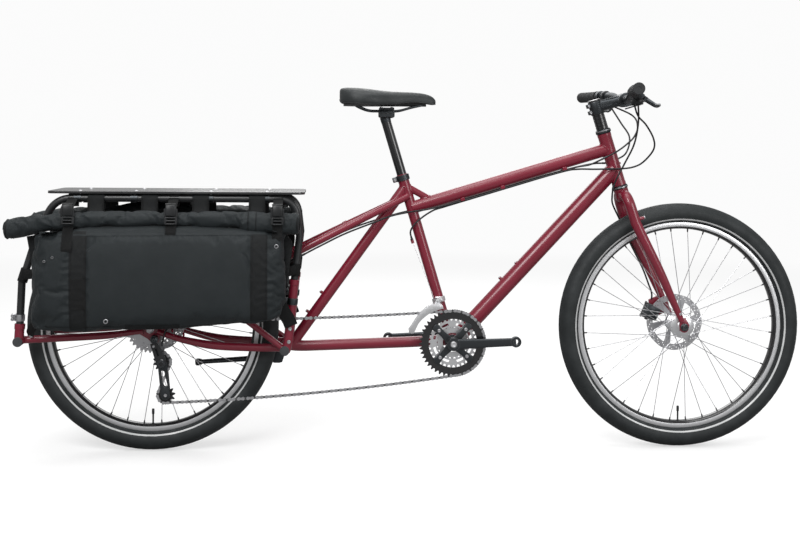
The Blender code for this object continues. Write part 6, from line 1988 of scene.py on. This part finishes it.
def bag_straps(body, roll):
    straps, buckles = Shape(), Shape()
    for x, tail in ((-0.2, 0.56), (0.065, 0.6), (0.342, 0.59)):
        y_roll = surface_y(roll, x, 0.638)
        y_body = surface_y(body, x, tail + 0.01) or -BAG_OUTER + 0.01
        rail = at(x, RAIL_Z, -RACK_Y)
        wrap = [rail + SIDE * 0.0118 * math.cos(a) + UP * 0.0118 * math.sin(a)
                for a in (math.radians(d) for d in (-60, -20, 20, 60, 100, 140, 180))]
        face = y_roll - 0.0045
        strap(straps, [wrap[0] - UP * 0.012 - SIDE * 0.004, *wrap, at(x, 0.676, face + 0.018),
                       at(x, 0.664, face - 0.0015)],
              FORWARD, 0.026, "webbing", 0.0016)
        low_z = roll_low(roll, x)
        strap(straps, [at(x, 0.642, face - 0.001), at(x, 0.632, y_roll - 0.0016),
                       at(x, low_z + 0.006, y_roll + 0.002),
                       at(x, tail + 0.014, min(y_roll + 0.004, y_body - 0.003)),
                       at(x, tail, y_body - 0.003)],
              FORWARD, 0.027, "webbing", 0.0016)
        buckle(buckles, at(x, 0.658, face - 0.003), UP, -SIDE)
    both_sides(straps, "bag_buckle_straps", "fabric")
    both_sides(buckles, "bag_buckles", "plastic")
    loops = Shape()
    for x in (-0.14, 0.001, 0.1355, 0.285):
        rail = at(x, RAIL_Z, -RACK_Y)
        round_rail = [rail + SIDE * 0.0122 * math.cos(a) + UP * 0.0122 * math.sin(a)
                      for a in (math.radians(d) for d in (0, 45, 90, 135, 180))]
        strap(loops, [at(x, 0.63, -0.118), at(x, 0.664, -0.098), *round_rail, at(x, 0.67, -0.109),
                      at(x, 0.642, -0.118)],
              FORWARD, 0.044, "canvas_dark", 0.002)
        for edge in (-1, 1):
            strap(loops, [p + FORWARD * edge * 0.0195 for p in (round_rail[4] - SIDE * 0.0016,
                                                                at(x, 0.67, -0.111),
                                                                at(x, 0.644, -0.12))],
                  FORWARD, 0.0045, "webbing", 0.0012)
    both_sides(loops, "bag_rail_loops", "fabric")


def roll_low(tree, x):
    """The lowest z of the roll at this x."""
    hit = tree.ray_cast(at(x, 0.5, -ROLL_Y), UP)[0]
    return hit.z if hit else 0.6


def roll_ends():
    """Piping round the roll's ends, the spiral of its layers, and its fold seams."""
    shape = Shape()
    for x, z, tall, wide, out in ((-0.36, 0.615, 0.0245, 0.0255, -1), (0.393, 0.632, 0.0272, 0.0268, 1)):
        ring = [at(x, z + tall * math.sin(a), -ROLL_Y - wide * math.cos(a)) for a in
                (2 * math.pi * k / 40 for k in range(40))]
        shape.loop(ring, 0.0022, "canvas_dark", 10)
        spiral = []
        for k in range(84):
            share = 1 - k / 96
            turn = 2 * math.pi * k / 28
            spiral.append(at(x + out * (0.0068 + 0.001 * (1 - share)),
                             z + tall * 0.8 * share * math.sin(turn),
                             -ROLL_Y - wide * 0.8 * share * math.cos(turn)))
        shape.tube(spiral, 0.0013, "canvas_dark", 8)
        for inset in (0.01, 0.016):
            ring = [at(x - out * inset, z + (tall + 0.0004) * math.sin(a),
                       -ROLL_Y - (wide + 0.0004) * math.cos(a))
                    for a in (2 * math.pi * k / 40 for k in range(40))]
            shape.loop(ring, 0.0006, "webbing", 6)
    for x, z, tall, wide in ((0.265, 0.6348, 0.0276, 0.029), (0.286, 0.6342, 0.0286, 0.029)):
        shape.loop(roll_ring(x, z, tall, wide, 48), 0.0009, "webbing", 8)
    both_sides(shape, "bag_roll_ends", "fabric")


def bag_ties():
    """Bands round the rack's uprights, corner straps, and the clamps at the sockets."""
    ties, clamps = Shape(), Shape()
    front_low, front_high = at(0.3862, 0.4794, -RACK_Y), at(0.399, 0.596, -RACK_Y)
    rear_high = at(-0.334, 0.47, -RACK_Y)
    rear_top = at(-0.303, 0.571, -RACK_Y)
    for low, high, share, tall in ((front_low, front_high, 0.08, 0.034),
                                   (rear_high, rear_top, 0.02, 0.036)):
        along = (high - low).normalized()
        place = low.lerp(high, share)
        ties.lathe([(0.0103, 0.0), (0.0128, 0.0), (0.0134, 0.0015), (0.0134, tall - 0.0015), (0.0128, tall),
                    (0.0103, tall)],
                   place, along, "webbing", 32)
    for top, x_tie in ((at(0.3905, 0.505, -0.108), 0.352), (at(-0.3265, 0.49, -0.108), -0.282)):
        strap(ties, [top + UP * 0.002, top.lerp(at(x_tie, 0.5, -0.124), 0.5) - SIDE * 0.002,
                     at(x_tie, 0.498, -0.128)],
              UP, 0.026, "webbing", 0.0022)
    strap(ties, [at(0.344, 0.43, -0.136), at(0.356, 0.402, -0.13), at(0.372, 0.374, -0.116),
                 at(0.379, 0.356, -0.111)],
          Vector((0.75, 0, 0.66)), 0.036, "webbing", 0.0022)
    strap(ties, [at(-0.28, 0.376, -0.134), at(-0.298, 0.356, -0.124), at(-0.31, 0.338, -0.101),
                 at(-0.311, 0.329, -0.091)],
          Vector((0.75, 0, -0.55)), 0.022, "webbing", 0.002)
    strap(ties, [at(0.358, 0.595, -0.135), at(0.37, 0.575, -0.128), at(0.364, 0.525, -0.129),
                 at(0.356, 0.47, -0.132)],
          Vector((1, 0, 0.1)), 0.022, "canvas_dark", 0.003)
    strap(ties, [at(-0.302, 0.597, -0.13), at(-0.296, 0.56, -0.127), at(-0.29, 0.52, -0.129)],
          FORWARD, 0.024, "canvas_dark", 0.003)
    both_sides(ties, "bag_upright_ties", "fabric")
    low, high = at(0.37, 0.3, -RACK_Y), at(0.386, 0.479, -RACK_Y)
    along = (high - low).normalized()
    rearward = Vector((-along.z, 0, along.x))
    for place, look, stud in ((low + along * 0.112, "anodised", "anodised"),
                              (at(-0.3385, 0.368, -RACK_Y), "steel", "steel")):
        axis = along if look == "anodised" else Vector((0.03, 0, 1)).normalized()
        radius = 0.0128 if look == "anodised" else 0.0104
        clamps.lathe([(radius, 0.0), (radius + 0.0022, 0.0005), (radius + 0.0026, 0.004),
                      (radius + 0.0026, 0.014),
                      (radius + 0.0022, 0.0175), (radius, 0.018)], place, axis, look, 36)
        for rise in (0.0045, 0.0135):
            bolt = place + axis * rise + rearward * (radius + 0.0062)
            clamps.tube([bolt - SIDE * 0.011, bolt + SIDE * 0.011], 0.003, stud, 16)
            clamps.bolt(bolt - SIDE * 0.011, -SIDE, 0.0044, 0.0036, stud)
        for side in (-1, 1):
            clamps.box(place + axis * 0.009 + rearward * (radius + 0.0055) + SIDE * side * 0.005, rearward,
                       axis, SIDE,
                       (0.0055, 0.0088, 0.0022), look, 0.001)
    for x, z in ((-0.311, 0.327), (0.376, 0.348), (0.373, 0.313)):
        y = -RACK_Y - 0.0118 if x > 0 else -0.085
        clamps.bolt(at(x, z, y), -SIDE, 0.005, 0.0044, "steel")
    both_sides(clamps, "rack_socket_clamps", "steel")


bag_body, bag_roll = bag_right()
bag_panels(bag_body)
bag_straps(bag_body, bag_roll)
roll_ends()
bag_ties()


# ---------------------------------------------------------------- stage


BACKDROP = 0.97  # as the camera sees it
WORLD_LIGHT = 0.42  # as it lights the bicycle
FLOOR_GLOW = 0.52
FLOOR_HALF = 40.0


def floor_material():
    """A pale floor that fades into the background far from the bicycle, and throws little light back up."""
    m = Nodes("studio_floor")
    camera_ray = m.tree.nodes.new("ShaderNodeLightPath").outputs["Is Camera Ray"]
    length = m.tree.nodes.new("ShaderNodeVectorMath")
    length.operation = "LENGTH"
    m.put(length.inputs[0], m.coords)
    far = m.ramp(m.math("DIVIDE", length.outputs["Value"], 8.0), (0.16, 0.0), (0.75, 1.0))
    seen = m.mix(far, (0.5, 0.5, 0.5), (0.0, 0.0, 0.0))
    m.set(Base_Color=m.mix(camera_ray, (0.26, 0.26, 0.26), seen), Roughness=0.9, Specular_IOR_Level=0.0,
          Emission_Color=m.mix(far, (FLOOR_GLOW, FLOOR_GLOW, FLOOR_GLOW), (BACKDROP, BACKDROP, BACKDROP)),
          Emission_Strength=camera_ray)
    return m.material


def studio():
    floor_mesh = bpy.data.meshes.new("floor")
    size = FLOOR_HALF
    floor_mesh.from_pydata([(-size, -size, 0), (size, -size, 0), (size, size, 0), (-size, size, 0)], [],
                           [(0, 1, 2, 3)])
    floor = bpy.data.objects.new("floor", floor_mesh)
    floor.location.z = -0.0005
    floor_mesh.materials.append(floor_material())
    bpy.context.scene.collection.objects.link(floor)
    world = bpy.data.worlds.new("studio")
    world.use_nodes = True
    tree = world.node_tree
    camera_ray = tree.nodes.new("ShaderNodeLightPath").outputs["Is Camera Ray"]
    glow = tree.nodes.new("ShaderNodeMapRange")
    glow.inputs["To Min"].default_value = WORLD_LIGHT
    glow.inputs["To Max"].default_value = BACKDROP
    tree.links.new(camera_ray, glow.inputs["Value"])
    tree.nodes["Background"].inputs["Color"].default_value = (1, 1, 1, 1)
    tree.links.new(glow.outputs["Result"], tree.nodes["Background"].inputs["Strength"])
    bpy.context.scene.world = world
    for name, place, size, power in (("key", (-1.6, -3.2, 3.4), 2.2, 120.0),
                                     ("fill", (2.6, -3.0, 1.6), 1.8, 42.0),
                                     ("rim", (0.3, 3.4, 2.8), 3.0, 60.0),
                                     ("top", (0.0, -0.2, 4.2), 3.0, 80.0)):
        lamp = bpy.data.lights.new(name, "AREA")
        lamp.shape = "SQUARE"
        lamp.size = size
        lamp.energy = power
        light = bpy.data.objects.new(name, lamp)
        light.location = place
        light.rotation_euler = (Vector((0, 0, 0.5)) - Vector(place)).to_track_quat("-Z", "Y").to_euler()
        bpy.context.scene.collection.objects.link(light)


CAMERA_PLACE = Vector((-0.2529, -3.2929, 0.8562))
CAMERA_YAW_DEG = 3.57
CAMERA_ROLL_DEG = 0.49
CAMERA_LENS_MM = 53.3
CAMERA_SHIFT_Y = -0.158


def lens_shift(data, view):
    """The photo's view has a shifted lens, which is centred again once the camera leaves that height."""
    driver = data.driver_add("shift_y").driver
    height = driver.variables.new()
    height.name = "height"
    height.type = "TRANSFORMS"
    height.targets[0].id = view
    height.targets[0].transform_type = "LOC_Z"
    driver.expression = f"{CAMERA_SHIFT_Y} if abs(height - {CAMERA_PLACE.z:.4f}) < 0.001 else 0.0"


def camera():
    data = bpy.data.cameras.new("camera")
    data.lens = CAMERA_LENS_MM
    data.sensor_width = 36.0
    view = bpy.data.objects.new("camera", data)
    bpy.context.scene.collection.objects.link(view)
    lens_shift(data, view)
    turn = Matrix.Rotation(math.radians(-CAMERA_YAW_DEG), 4, "Z") @ Matrix.Rotation(math.pi / 2, 4, "X")
    view.matrix_world = Matrix.Translation(CAMERA_PLACE) @ turn @ Matrix.Rotation(
        math.radians(CAMERA_ROLL_DEG), 4, "Z")
    bpy.context.scene.camera = view
    bpy.context.scene.view_settings.view_transform = "Standard"


studio()
camera()
